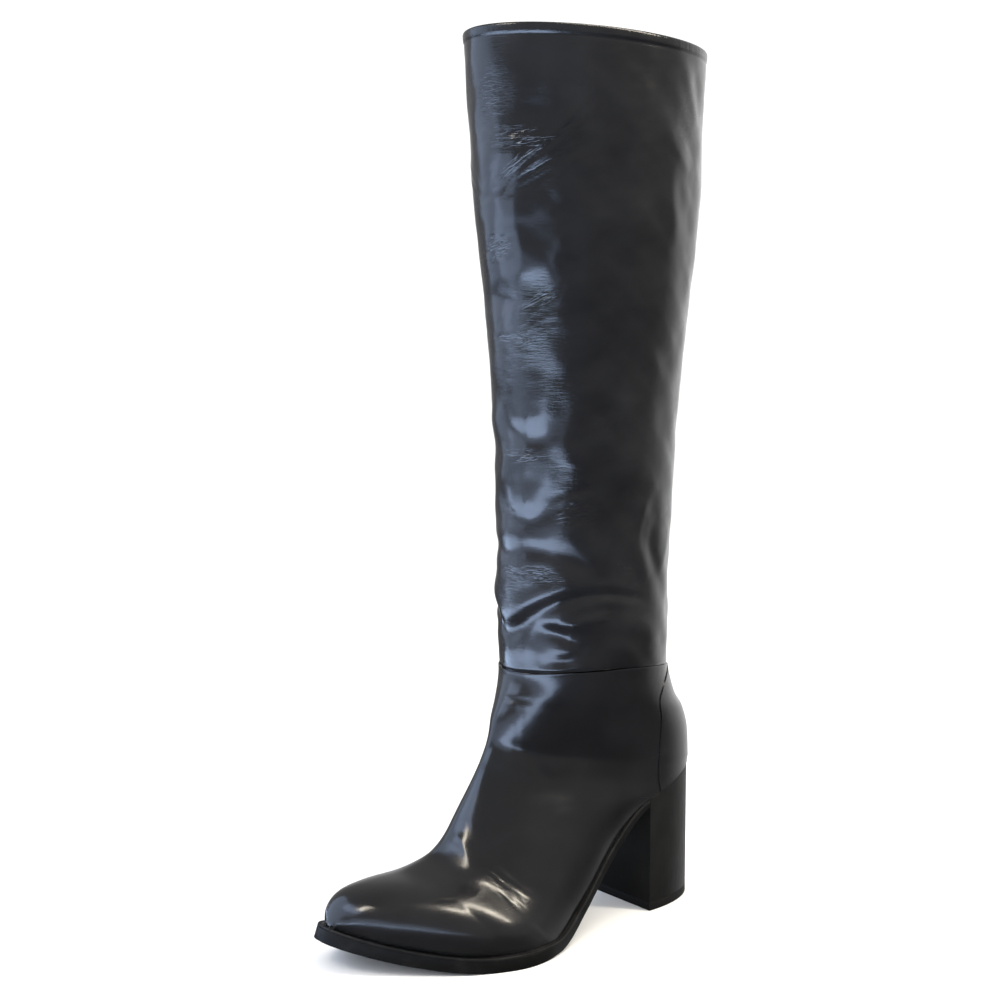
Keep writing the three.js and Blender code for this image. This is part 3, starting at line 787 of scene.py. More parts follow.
def soft_waves(points, length, height, seed):
    """Lifts of a slack surface: many faint waves of about this length, in every direction."""
    random = np.random.default_rng(seed)
    lift = np.zeros(points.shape[:-1])
    for _ in range(WAVES):
        towards = random.normal(size=3) * WAVE_STRETCH
        towards /= np.linalg.norm(towards)
        turns = 2 * np.pi / (length * random.uniform(*WAVE_LENGTHS))
        lift += np.cos(points @ (towards * turns) + random.uniform(0, 2 * np.pi))
    return lift * height * math.sqrt(2 / WAVES)


def all_waves(points, table):
    """The waves of a table, added up."""
    return sum(soft_waves(points, **row) for row in named_rows(table))


def leg_grid(below, columns):
    """The leg's face between collar and ankle seam, at depths below the collar given as shares."""
    side, climb = ring_columns(columns)
    upper_row = row_where(lambda p: p[..., 2] - top_line(p), side, climb, 0, 3)
    lower_row = ankle_row(side, climb, 0.5 * GAP)
    top = skin(upper_row, side, climb)[:, 2]
    low = skin(lower_row, side, climb)[:, 2]
    goal = top + (low - top) * np.asarray(below)[:, None]
    row = row_where(lambda p: p[..., 2] - goal, side[None, :], climb[None, :] + 0 * goal, 0, LEG_ROWS + 2)
    return eased(skin(row, side, climb), 1.5, axis=1, closed=True)


def leg_lift(points, narrowest=0.0):
    """The creases and waves of the leg."""
    strokes = named_rows(LEG_CREASES) + wrinkle_strokes(LEG_WRINKLES, LEG_SEED)
    creases = crease_lift(points, normals(points, True), strokes, along_leg, narrowest)
    return creases * bpy.context.scene.boot_leather.crease_depth + all_waves(points, LEG_WAVES)


LEG_LENGTH = BOOT_HEIGHT - ANKLE_HEIGHT
SHAFT_WALL = 0.0012

# Rows of the leg's grid: fine ones at the collar's band and at the ankle's edge, and the rest between them
FINE_STEP = 0.0003
BAND_ROWS = 26
MIDDLE_ROWS = 205
ANKLE_ROWS = 10
LEG_COLUMNS = 312
INNER_ROW_STEP = 5

# Relief of the leg's edges: the fade of the creases under the collar, the softness of the band's step, the
# groove under the band, the rounded rim, and the tuck at the ankle
CREASE_FADE = 0.02
BAND_SOFTNESS = 0.0006
GROOVE_DEPTH = 0.00012
GROOVE_DROP = 0.0011
GROOVE_WIDTH = 0.0009
RIM_ROUND = 0.0009
RIM_REACH = 0.0004
ANKLE_TUCK = 0.0006
TUCK_REACH = 0.0013

# Where the leg's wall thins from its full thickness at the collar to make room for the lining, and how softly
WALL_STEP_DROP = 0.007
WALL_STEP_SOFTNESS = 0.0003

# The lining: where it starts under the collar, its clearance from the leather and its grid
LINING_DROP = 0.0068
LINING_GAP = 0.0001
LINING_ROWS = 80
LINING_COLUMNS = 160

# Narrowest creases, in millimetres, that show on the leather's inner face and on the lining
INNER_CREASE = 2.5
LINING_CREASE = 3.5


class BOOT_OT_shaft(bpy.types.Operator):
    """Models the leg with its turned collar band and its creases"""

    bl_idname = "boot.shaft"
    bl_label = "Shaft"

    def execute(self, context):
        fine = FINE_STEP / LEG_LENGTH
        below = np.concatenate([
            np.arange(BAND_ROWS) * fine,
            np.linspace((BAND_ROWS + 1) * fine, 1 - (ANKLE_ROWS + 1) * fine, MIDDLE_ROWS),
            1 - np.arange(ANKLE_ROWS - 1, -1, -1) * fine,
        ])
        points = leg_grid(below, LEG_COLUMNS)
        height = points[..., 2]
        depth = top_line(points) - height
        rise = height - ankle_line(points)
        band = BAND_STEP / (1 + np.exp((depth - BAND_HEIGHT) / BAND_SOFTNESS))
        groove = GROOVE_DEPTH * np.exp(-((depth - BAND_HEIGHT - GROOVE_DROP) / GROOVE_WIDTH) ** 2)
        rim = RIM_ROUND * np.exp(-depth / RIM_REACH)
        tuck = ANKLE_TUCK * np.exp(-(rise / TUCK_REACH) ** 2)
        fade = np.clip(depth / CREASE_FADE, 0, 1)
        outer = moved(points, leg_lift(points) * fade + band - groove - rim - tuck, True)
        last = len(below) - 1
        coarse = np.concatenate([[0], np.arange(BAND_ROWS, last + 1, INNER_ROW_STEP), [last]])
        soft = leg_lift(points[coarse], INNER_CREASE) * fade[coarse]
        thinning = np.exp((depth[coarse] - WALL_STEP_DROP) / WALL_STEP_SOFTNESS)
        wall = SHAFT_WALL + (WALL - SHAFT_WALL) / (1 + thinning)
        inner = moved(points[coarse], soft - wall, True)
        inner = eased(inner, 1.0, axis=1, closed=True)
        body = np.concatenate([outer[::-1], inner, outer[-1:]])
        shaft = sheet("shaft_leather", around(body))
        edit(shaft, weld, outwards)
        smooth(shaft, 60)
        finish(shaft, slack_black_leather(), "upper_leather", "shaft")
        return {"FINISHED"}


class BOOT_OT_lining(bpy.types.Operator):
    """Models the lining of the leg"""

    bl_idname = "boot.lining"
    bl_label = "Lining"

    def execute(self, context):
        points = leg_grid(np.linspace(LINING_DROP / LEG_LENGTH, 1, LINING_ROWS), LINING_COLUMNS)
        soft = leg_lift(points, LINING_CREASE)
        outer = moved(points, soft - SHAFT_WALL - LINING_GAP, True)
        inner = moved(points, soft - WALL, True)
        lining = sheet("shaft_lining", around(np.concatenate([outer[::-1], inner, outer[-1:]])))
        edit(lining, weld, outwards)
        smooth(lining, 60)
        finish(lining, lining_leather(), "lining_leather")
        return {"FINISHED"}


# Samples for the length of the sections, and the columns' quantile that sets the step between rows
ROW_SAMPLES = 500
STEP_QUANTILE = 0.7


def even_rows(count, first, side, climb):
    """Rows from a first one for each column to the toe, at even steps over the surface."""
    fine = np.linspace(LEG_ROWS - 1, LAST_ROW, ROW_SAMPLES)
    points = skin(fine[:, None], side, climb)
    step = np.linalg.norm(np.diff(points, axis=0), axis=-1)
    run = np.concatenate([[0], np.cumsum(np.quantile(step, STEP_QUANTILE, axis=1))])
    start = np.interp(first, fine, run)
    return np.interp(start + (run[-1] - start) * np.linspace(0, 1, count)[:, None], run, fine)


# The foot's waves fade towards the toe: by this share, from and over these shares of the sole's length
TOE_TIGHT = 0.85
TIGHT_FROM = 0.6
TIGHT_OVER = 0.12


def foot_lift(points, narrowest=0.0):
    """The creases and waves of the foot."""
    strokes = named_rows(FOOT_CREASES) + wrinkle_strokes(FOOT_WRINKLES, FOOT_SEED)
    creases = crease_lift(points, normals(points, False), strokes, along_foot, narrowest)
    ahead = (BACK - points[..., 1]) / SOLE_LENGTH
    slack = 1 - TOE_TIGHT * np.clip((ahead - TIGHT_FROM) / TIGHT_OVER, 0, 1)
    return creases + slack * all_waves(points, FOOT_WAVES)


# The foot's turned upper edge: how far it stands proud, how far down that reaches, and the rounding of its
# rim
TURN_PROUD = 0.00045
TURN_REACH = 0.0035
TURN_ROUND = 0.0004
TURN_SOFTNESS = 0.0003


def ankle_edge(points):
    """The turned upper edge of the foot part, which stands a little proud of the leg."""
    under = np.clip(ankle_line(points) - points[..., 2], 0, None)
    return TURN_PROUD * np.exp(-under / TURN_REACH) - TURN_ROUND * np.exp(-under / TURN_SOFTNESS)


# The foot's tucked edges: shares of the drop to the bed at the tip of the toe, the bulge of the tip, how far
# its last row is set back, how far the lower edge turns in and what share of the clearance it drops
TIP_DROPS = (0.3, 0.6, 0.85, 1.0)
TIP_BULGE = 0.0012
TIP_SET_BACK = 0.0006
TURN_IN = 0.0007
TURN_DROP = 0.9


def tucked(points):
    """The foot's grid closed at the tip of the toe, with its lower edge turned in on the welt."""
    last = points[-1]
    bed = 0.5 * (last[0, 2] + last[-1, 2])
    rows = []
    for share in TIP_DROPS:
        row = last.copy()
        row[:, 1] -= TIP_BULGE * math.sin(0.5 * math.pi * share)
        row[:, 2] += share * (bed - last[:, 2])
        rows.append(row)
    rows.append(rows[-1] + np.array([0, TIP_SET_BACK, -GAP]))
    points = np.concatenate([points, np.array(rows)])
    middle = 0.5 * (points[:, :1] + points[:, -1:])
    edges = []
    for edge in (points[:, :1], points[:, -1:]):
        inwards = middle - edge
        inwards /= np.maximum(np.linalg.norm(inwards, axis=-1, keepdims=True), 1e-9)
        on_bed = edge[..., 1:2] < BACK - HEEL_LENGTH
        edges.append(edge + on_bed * (TURN_IN * inwards + np.array([0, 0, -TURN_DROP * GAP])))
    return np.concatenate([edges[0], points, edges[1]], 1)


def stations(count):
    """Numbers from 0 to 1, closer together at both ends."""
    return 0.5 * (1 - np.cos(np.pi * np.linspace(0, 1, count)))


def bed_line(place, inset, out, lift):
    """A line along the bed: set in from the sole's sides, a share of the half width out, and lifted."""
    outer, inner = sole_sides(place, inset)
    y, z = bed_point(place, lift)
    return np.stack([0.5 * (outer + inner) + 0.5 * (outer - inner) * out, y, z], -1)


# One edge of the insole's cross-section, from its under side round to the top: how far out it lies as a share
# of the half width, and its lift from the bed. The top is a little hollow in the middle.
INSOLE_EDGE = (
    ("out", "lift"),
    (0.985, 0.0),
    (1.0, 0.0004),
    (1.0, 0.0021),
    (0.97, INSOLE_THICKNESS),
)
INSOLE_HOLLOW = 0.0002
INSOLE_STATIONS = 150
TOE_CLEARANCE = 0.0012


class BOOT_OT_insole(bpy.types.Operator):
    """Models the insole inside the foot part"""

    bl_idname = "boot.insole"
    bl_label = "Insole"

    def execute(self, context):
        first = WALL + 2 * GAP
        end = SOLE_LENGTH - SOLE_MARGIN - WALL - TOE_CLEARANCE
        place = first + (end - first) * stations(INSOLE_STATIONS)
        inset = margin(place) + WALL + GAP
        edge = [(row["out"], row["lift"]) for row in named_rows(INSOLE_EDGE)]
        across = edge + [(0, INSOLE_THICKNESS - INSOLE_HOLLOW)]
        across += [(-out, lift) for out, lift in edge[::-1]] + [(0, 0.0)]
        lines = [bed_line(place, inset, out, lift) for out, lift in across]
        insole = sheet("insole_leather", around(np.stack(lines, 1)))
        edit(insole, weld, fill_ends, outwards)
        smooth(insole)
        finish(insole, lining_leather(), "lining_leather", "insole")
        return {"FINISHED"}


# The foot's grid: columns of each side, of which the outermost keep their place, rows, and in how many parts
# its first two rows are split for the turned edge
FOOT_COLUMNS = 106
KEPT_COLUMNS = 3
FOOT_ROWS = 198
EDGE_PARTS = 5


class BOOT_OT_foot(bpy.types.Operator):
    """Models the foot part over the last, open underneath"""

    bl_idname = "boot.foot"
    bl_label = "Foot"

    def execute(self, context):
        climbs = np.linspace(0, 1, FOOT_COLUMNS)
        side = np.concatenate([np.ones(FOOT_COLUMNS), -np.ones(FOOT_COLUMNS - 1)])
        climb = np.concatenate([climbs, climbs[-2::-1]])
        first = ankle_row(side, climb, -0.5 * GAP)
        row = even_rows(FOOT_ROWS, first, side, climb)
        step = (row[1] - row[0]) / EDGE_PARTS
        row = np.concatenate([row[:1] + step * np.arange(2 * EDGE_PARTS)[:, None], row[2:]])
        points = skin(row, side, climb)
        free = slice(KEPT_COLUMNS, -KEPT_COLUMNS)
        points[:, free] = eased(points, 1.5, axis=1)[:, free]
        points = moved(points, foot_lift(points) + ankle_edge(points), False)
        upper = sheet("foot_leather", tucked(points))
        edit(upper, weld, outwards)
        apply(upper, "SOLIDIFY", thickness=WALL, offset=-1, use_even_offset=False)
        smooth(upper, 60)
        finish(upper, lasted_black_leather(), "upper_leather", "upper")
        return {"FINISHED"}


COUNTER_LINE = curve(column(COUNTER_FRONT, "up"), column(COUNTER_FRONT, "ahead"))

# The counter's front edge lies below this climb
HIGHEST_CLIMB = 0.9


def ahead_of_counter(point):
    """How far a point lies ahead of the counter's front edge."""
    up = (point[..., 2] - HEEL_HEIGHT) / (ANKLE_HEIGHT - HEEL_HEIGHT)
    return BACK - point[..., 1] - COUNTER_LINE(up) * HEEL_LENGTH


def counter_climb(row, side):
    """The climb where each row crosses the counter's front edge."""
    low = np.zeros_like(row)
    high = np.full_like(row, HIGHEST_CLIMB)
    for _ in range(HALVINGS):
        middle = 0.5 * (low + high)
        behind = ahead_of_counter(skin(row, side, middle)) < 0
        low = np.where(behind, middle, low)
        high = np.where(behind, high, middle)
    return 0.5 * (low + high)


# The counter's grid: steps each way above the heel seat, rows below it, and the climb under which a row is
# taken to have ended. Its edge under the ankle seam is found in a few rounds.
COUNTER_STEPS = 60
SEAT_STEPS = 40
ENDED_CLIMB = 0.002
COUNTER_ROUNDS = 4
COUNTER_WELD = 0.00005


class BOOT_OT_counter(bpy.types.Operator):
    """Models the panel round the back of the heel, proud of the foot part"""

    bl_idname = "boot.counter"
    bl_label = "Heel counter"

    def execute(self, context):
        lows = np.linspace(SEAT_ROW, SEAT_ROW + 4, 200)
        ended = counter_climb(lows, 1.0) < ENDED_CLIMB
        last = lows[np.argmax(ended)] if ended.any() else lows[-1]
        seat = np.linspace(SEAT_ROW, last, SEAT_STEPS)
        share = np.linspace(0, 1, COUNTER_STEPS)
        strip = -BACK_SHARE * np.linspace(1, 0, BACK_COLUMNS + 1)
        pieces = []
        for side in (1.0, -1.0):
            climb = counter_climb(np.full(COUNTER_STEPS, LEG_ROWS + 1.0), side) * share
            for _ in range(COUNTER_ROUNDS):
                first = ankle_row(side, climb, -0.5 * GAP)
                climb = counter_climb(first, side) * share
            row = first + (SEAT_ROW - first) * share[:, None]
            row = np.concatenate([row, np.repeat(seat[1:, None], COUNTER_STEPS, 1)])
            half = skin(row, side, counter_climb(row, side) * share)
            pieces.append(sheet("counter_half", moved(half, COUNTER_STEP, False)))
            first = ankle_row(side, strip, -0.5 * GAP)
            back = skin(first + (SEAT_ROW - first) * share[:, None], side, strip)
            pieces.append(sheet("counter_back", moved(back, COUNTER_STEP, False)))
        use(pieces[0])
        for piece in pieces:
            piece.select_set(True)
        bpy.ops.object.join()
        counter = bpy.context.object
        counter.name = "heel_counter_leather"
        counter.data.name = counter.name
        edit(counter, lambda: weld(COUNTER_WELD), outwards)
        apply(counter, "SOLIDIFY", thickness=COUNTER_STEP, offset=-1)
        smooth(counter)
        finish(counter, lasted_black_leather(), "upper_leather", "heel_counter")
        return {"FINISHED"}


# How far the sole's layers run on behind the breast before they are cut, stations along them, steps across
# their faces, steps of a rounded edge and its radius
BREAST_OVERRUN = 0.006
SOLE_STATIONS = 170
FACE_STEPS = 14
ROUND_STEPS = 4
SOLE_ROUND = 0.0003


def layer(name, first, profile):
    """A layer of the sole, from a first place to the toe.

    Each row of the profile has its inset from the edge, its lift from the bed as a function of the place, and
    how far out it lies as a share of the half width. The rows go round the cross-section.
    """
    share = stations(SOLE_STATIONS)
    lines = []
    for inset, lift, out in profile:
        place = first + (SOLE_LENGTH - inset - first) * share
        lines.append(bed_line(place, inset, out, lift(place)))
    return sheet(name, around(np.stack(lines, 1)))


def lifted(lift, more):
    """A lift as a function of the place, with a constant added."""
    return lambda place: lift(place) + more


def cross_section(low, high, cut):
    """The rows of a layer's profile between two lifts, with its edges rounded by a radius."""
    arc = np.linspace(0, 0.5 * np.pi, ROUND_STEPS)
    edge = [(cut * (1 - math.sin(a)), lifted(high, cut * (math.cos(a) - 1))) for a in arc]
    edge += [(cut * (1 - math.cos(a)), lifted(low, cut * (1 - math.sin(a)))) for a in arc]
    wide = np.linspace(1, -1, FACE_STEPS + 1)[1:-1]
    profile = [(inset, lift, 1) for inset, lift in edge]
    profile += [(cut, low, out) for out in wide]
    profile += [(inset, lift, -1) for inset, lift in edge[::-1]]
    profile += [(cut, high, out) for out in wide[::-1]]
    return profile


def bisect_breast():
    """Cuts off what lies behind a clearance ahead of the heel's breast, and fills the cut."""
    bpy.ops.mesh.bisect(
        plane_co=(0, BACK - HEEL_LENGTH - GAP, 0), plane_no=(0, 1, 0), use_fill=True, clear_outer=True,
    )


def cut_breast(obj):
    """Cuts a layer off square at the breast of the heel."""
    for step in (weld, bisect_breast, outwards):
        edit(obj, step)


# The welt: its rounding, how far in its edge band reaches, steps of one wheel mark and the power of its form
WELT_ROUND = 0.00025
WELT_BAND = 0.0022
NOTCH_STEPS = 4
NOTCH_POWER = 0.7
RUN_SAMPLES = 4000


def welt_strip(looks):
    """The strip under the upper's lower edge, round the toe from breast to breast, with wheel marks."""
    first = HEEL_LENGTH - BREAST_OVERRUN
    half_turn = np.linspace(0, 0.5 * np.pi, RUN_SAMPLES)
    place = first + (SOLE_LENGTH - first) * np.sin(half_turn)
    y, z = bed_point(place, 0)
    marks = []
    for line in sole_sides(place, 0):
        step = np.sqrt(np.diff(line) ** 2 + np.diff(y) ** 2 + np.diff(z) ** 2)
        run = np.concatenate([[0], np.cumsum(step)])
        count = int(round(run[-1] / looks.notch_pitch)) * NOTCH_STEPS
        marks.append(np.interp(np.linspace(0, run[-1], count + 1), run, np.sin(half_turn)))
    share = np.concatenate([marks[0], marks[1][-2::-1]])
    outer = np.arange(len(share)) < len(marks[0])
    notch = np.abs(np.sin(np.pi * np.arange(len(share)) / NOTCH_STEPS)) ** NOTCH_POWER
    low, high, cut = -GAP - WELT_THICKNESS, -GAP, WELT_ROUND
    profile = (
        ("inset", "lift", "marked"),
        (cut, low, 0),
        (0.0, low + cut, 0),
        (0.0, high - 2 * cut, 0.3),
        (cut, high, 1.0),
        (3 * cut, high, 1.0),
        (WELT_BAND, high, 0),
        (WELT_WIDTH, high, 0),
        (WELT_WIDTH, low, 0),
    )
    lines = []
    for row in named_rows(profile):
        place = first + (SOLE_LENGTH - row["inset"] - first) * share
        side_out, side_in = sole_sides(place, row["inset"])
        y, z = bed_point(place, row["lift"] - row["marked"] * looks.notch_depth * (1 - notch))
        lines.append(np.stack([np.where(outer, side_out, side_in), y, z], -1))
    welt = sheet("welt_strip", around(np.stack(lines, 1)))
    cut_breast(welt)
    smooth(welt, 50)
    return welt


class BOOT_OT_sole(bpy.types.Operator):
    """Models the outsole and the welt"""

    bl_idname = "boot.sole"
    bl_label = "Sole"

    def execute(self, context):
        welt_low = -GAP - WELT_THICKNESS
        section = cross_section(
            lambda place: welt_low - GAP - sole_thickness(place),
            lambda place: welt_low + 0 * place,
            SOLE_ROUND,
        )
        outsole = layer("outsole_edge_and_tread", HEEL_LENGTH - BREAST_OVERRUN, section)
        cut_breast(outsole)
        smooth(outsole)
        finish(outsole, waxed_sole_edge(), "sole", "outsole")
        welt = welt_strip(context.scene.boot_sole)
        finish(welt, waxed_welt(), "sole", "welt")
        return {"FINISHED"}


# Rounding of the heel's edges, and the joint between the block and its top piece
HEEL_ROUND = 0.0002
HEEL_JOINT = 0.00005


def heel_outline(inset, count=64):
    """The heel's plan as a ring of points from the breast's outer corner round the back."""
    place = HEEL_LENGTH - (HEEL_LENGTH - inset) * np.sin(np.linspace(0, 0.5 * np.pi, count))
    outer, inner = sole_sides(place, inset)
    ring = np.concatenate([
        np.stack([outer, BACK - place], -1),
        np.stack([inner, BACK - place], -1)[-2::-1],
    ])
    ring[:, 1] = np.maximum(ring[:, 1], BACK - HEEL_LENGTH + inset)
    return ring


def heel_block(name, low, high):
    """An upright block with the heel's plan between two heights, with rounded edges."""
    cut = HEEL_ROUND
    arc = np.linspace(0, 0.5 * np.pi, ROUND_STEPS)
    rings = []
    for a in arc:
        ring = heel_outline(cut * (1 - math.sin(a)))
        rings.append(np.column_stack([ring, low + 0 * ring[:, 0] + cut * (1 - math.cos(a))]))
    for a in arc[::-1]:
        ring = heel_outline(cut * (1 - math.sin(a)))
        rings.append(np.column_stack([ring, high(BACK - ring[:, 1]) - cut * (1 - math.cos(a))]))
    block = sheet(name, around(np.array(rings)))
    edit(block, weld, fill_ends, outwards)
    smooth(block)
    return block


class BOOT_OT_heel(bpy.types.Operator):
    """Models the block heel and its top piece"""

    bl_idname = "boot.heel"
    bl_label = "Heel"

    def execute(self, context):
        low = TOP_PIECE_HEIGHT + HEEL_JOINT
        heel = heel_block("block_heel", low, lambda place: bed_height(place) - GAP)
        finish(heel, lacquered_heel(), "heel_block", "heel")
        top = heel_block("top_piece", 0.0, lambda place: TOP_PIECE_HEIGHT + 0 * place)
        finish(top, black_rubber(), "top_piece", "heel_top_piece")
        return {"FINISHED"}


def put(tree, kind, inputs=(), **settings):
    """Adds a shader node with its settings and the values or links of its inputs."""
    node = tree.nodes.new("ShaderNode" + kind)
    for name, value in settings.items():
        setattr(node, name, value)
    for name, value in dict(inputs).items():
        if isinstance(value, bpy.types.NodeSocket):
            tree.links.new(value, node.inputs[name])
        else:
            node.inputs[name].default_value = value
    return node


def new_material(name, constants):
    """A material with the constants of its shader, and the place on the object for its patterns."""
    material = bpy.data.materials.new(name)
    material.use_nodes = True
    tree = material.node_tree
    shader = tree.nodes["Principled BSDF"]
    for key, value in constants.items():
        shader.inputs[key].default_value = value
    place = put(tree, "TexCoord").outputs["Object"]
    return material, tree, shader, place


def stretched(tree, place, scale):
    """The place with a pattern's own scale."""
    return put(tree, "Mapping", {"Vector": place, "Scale": scale}).outputs["Vector"]


def noise(tree, place, scale, detail=2.0, rough=0.5, distortion=0.0):
    """Soft noise round 0.5."""
    return put(tree, "TexNoise", {
        "Vector": place, "Scale": scale, "Detail": detail, "Roughness": rough, "Distortion": distortion,
    }).outputs["Fac"]


def ranged(tree, value, old, new):
    """A value brought from an old range to a new one, each given by its two ends, and kept within it."""
    return put(tree, "MapRange", {
        "Value": value, "From Min": old[0], "From Max": old[1], "To Min": new[0], "To Max": new[1],
    }).outputs["Result"]


def math_node(tree, operation, first, second=0.0):
    """The result of an operation on one or two values or sockets."""
    node = put(tree, "Math", operation=operation)
    for socket, value in zip(node.inputs, (first, second)):
        if isinstance(value, bpy.types.NodeSocket):
            tree.links.new(value, socket)
        else:
            socket.default_value = value
    return node.outputs["Value"]


def bump(tree, height, strength, distance, under=None):
    """A normal with this height on it, over another normal if one is given."""
    node = put(tree, "Bump", {"Height": height, "Strength": strength, "Distance": distance})
    if under:
        tree.links.new(under, node.inputs["Normal"])
    return node.outputs["Normal"]


def mixed(tree, share, first, second):
    """A colour between two, by a share."""
    node = put(tree, "Mix", data_type="RGBA")
    tree.links.new(share, node.inputs["Factor"])
    node.inputs["A"].default_value = (*first, 1)
    node.inputs["B"].default_value = (*second, 1)
    return node.outputs["Result"]


def lighter(colour, times):
    """A colour some times as light."""
    return tuple(times * value for value in colour)


def clad(tree, shader, colour, rough, normal):
    """Links a pattern's colour, roughness and normal to its shader."""
    tree.links.new(colour, shader.inputs["Base Color"])
    tree.links.new(rough, shader.inputs["Roughness"])
    tree.links.new(normal, shader.inputs["Normal"])


def made_once(make):
    """The material that a function makes, made only the first time."""
    name = make.__name__

    def get():
        return bpy.data.materials.get(name) or make(name)

    return get


# Patches of fine wrinkles on the leg: place, slant up to the right in degrees, half length, half height and
# strength
PATCHES = (
    ("place", "slant", "long", "tall", "strength"),
    ((0.0276, -0.0124, 0.4305), 34, 0.052, 0.0042, 0.8),
    ((0.0360, -0.0040, 0.4280), 31, 0.026, 0.0045, 0.6),
    ((0.0215, -0.0176, 0.4372), 2, 0.030, 0.0080, 0.6),
    ((0.0030, -0.0185, 0.3806), 15, 0.012, 0.0085, 1.0),
    ((0.0249, -0.0058, 0.3533), 30, 0.015, 0.0045, 0.9),
    ((0.0102, -0.0118, 0.3312), 5, 0.018, 0.0060, 0.8),
    ((0.0330, 0.0153, 0.2369), 12, 0.015, 0.0080, 0.8),
    ((0.0170, -0.0031, 0.2036), -4, 0.024, 0.0060, 0.9),
    ((0.0094, -0.0076, 0.2690), 3, 0.018, 0.0050, 0.6),
    ((0.0042, -0.0253, 0.4587), 0, 0.012, 0.0200, 0.7),
    ((-0.0027, -0.0084, 0.2405), -25, 0.010, 0.0060, 0.6),
    ((-0.0250, 0.0050, 0.4200), -25, 0.040, 0.0100, 0.8),
    ((-0.0350, 0.0500, 0.2050), 10, 0.030, 0.0080, 0.8),
)

# How deep every patch reaches into the leg, how finely its wrinkles repeat along, into and across it, and how
# near to the middle of the noise they lie
PATCH_DEPTH = 0.03
WRINKLE_STEPS = (55.0, 55.0, 400.0)
WRINKLE_EDGE = 0.07


def wrinkle_patches(tree, place):
    """Height of fine, nearly parallel wrinkles in patches that fade out at their edges."""
    total = None
    for row in named_rows(PATCHES):
        centre = Vector(row["place"])
        away = Vector((centre.x - MIDDLE, centre.y - BACK + LEG_CENTRE, 0)).normalized()
        level = Vector((0, 0, 1)).cross(away)
        slant = math.radians(row["slant"])
        along = math.cos(slant) * level + Vector((0, 0, math.sin(slant)))
        turn = Matrix((along, -away, along.cross(-away))).transposed().to_euler()
        own_frame = {"Vector": place, "Location": centre, "Rotation": turn}
        local = put(tree, "Mapping", own_frame, vector_type="TEXTURE").outputs["Vector"]
        inside = stretched(tree, local, (1 / row["long"], 1 / PATCH_DEPTH, 1 / row["tall"]))
        distance = put(tree, "VectorMath", {0: inside}, operation="LENGTH").outputs["Value"]
        fade = ranged(tree, distance, (1.0, 0.3), (0.0, row["strength"]))
        lines = noise(tree, stretched(tree, local, WRINKLE_STEPS), scale=1.0, detail=2, distortion=0.5)
        lines = math_node(tree, "ABSOLUTE", math_node(tree, "SUBTRACT", lines, 0.5))
        lines = ranged(tree, lines, (0.0, WRINKLE_EDGE), (-1.0, 0.0))
        lines = math_node(tree, "MULTIPLY", lines, fade)
        total = math_node(tree, "ADD", total, lines) if total else lines
    return total


# The marks fade in from a little below the collar band's lower edge to a little above it
BAND_FADE_BELOW = 0.0005
BAND_FADE_ABOVE = 0.0008


def band_marks(tree, place):
    """Height of fine upright marks on the turned band of the collar."""
    lean = COLLAR_DROP / COLLAR_LENGTH
    edge = BOOT_HEIGHT - COLLAR_DROP + lean * (BACK - LEG_CENTRE + 0.5 * COLLAR_LENGTH) - BAND_HEIGHT
    height = put(tree, "VectorMath", {0: place, 1: (0, lean, 1)}, operation="DOT_PRODUCT").outputs["Value"]
    on_band = ranged(tree, height, (edge - BAND_FADE_BELOW, edge + BAND_FADE_ABOVE), (0, 1))
    marks = noise(tree, stretched(tree, place, (1, 1, 0.08)), scale=620, detail=3, rough=0.6)
    return math_node(tree, "MULTIPLY", marks, on_band)


def polished_leather(name, slack):
    """Smooth black leather with fine grain, level wrinkles, pores and an uneven polish.

    Slack is 1 on the loose leg and less where the last keeps the leather tight.
    """
    looks = bpy.context.scene.boot_leather
    material, tree, shader, place = new_material(name, {
        "Specular IOR Level": 0.42,
        "Coat Weight": 0.45,
        "Coat Roughness": looks.polish_roughness,
        "Coat IOR": 1.4,
    })
    cloud = noise(tree, place, scale=17, detail=3)
    streaks = noise(tree, stretched(tree, place, (1, 1, 5)), scale=55, detail=4, rough=0.6)
    rough = ranged(tree, cloud, (0.3, 0.7), (looks.roughness - 0.05, looks.roughness + 0.07))
    rough = math_node(tree, "ADD", rough, ranged(tree, streaks, (0.3, 0.7), (-0.03, 0.03)))
    share = ranged(tree, cloud, (0.45, 0.75), (0, 1))
    colour = mixed(tree, share, tuple(looks.colour), lighter(looks.colour, 1.9))
    pores = {"Vector": place, "Scale": 1500, "Randomness": 1.0}
    cells = put(tree, "TexVoronoi", pores, feature="SMOOTH_F1").outputs["Distance"]
    grain = math_node(tree, "ADD", cells, noise(tree, place, scale=700, detail=3, rough=0.6))
    level = stretched(tree, place, (1, 1, 6))
    level = noise(tree, level, scale=150, detail=5, rough=0.62, distortion=0.6)
    here = ranged(tree, noise(tree, place, scale=26, detail=1), (0.42, 0.68), (0, 1))
    level = math_node(tree, "MULTIPLY", level, here)
    waves = noise(tree, place, scale=38, detail=2)
    normal = bump(tree, waves, slack * looks.wave, 0.004)
    normal = bump(tree, level, slack * looks.wrinkle, 0.0012, normal)
    if slack == 1:
        normal = bump(tree, wrinkle_patches(tree, place), looks.patch, 0.0004, normal)
        normal = bump(tree, band_marks(tree, place), looks.patch, 0.0005, normal)
    normal = bump(tree, grain, looks.grain, 0.0002, normal)
    clad(tree, shader, colour, rough, normal)
    tree.links.new(normal, shader.inputs["Coat Normal"])
    return material


@made_once
def slack_black_leather(name):
    """Leather of the loose leg."""
    return polished_leather(name, 1.0)


@made_once
def lasted_black_leather(name):
    """Leather of the foot and counter, pulled tight over the last."""
    return polished_leather(name, 0.25)


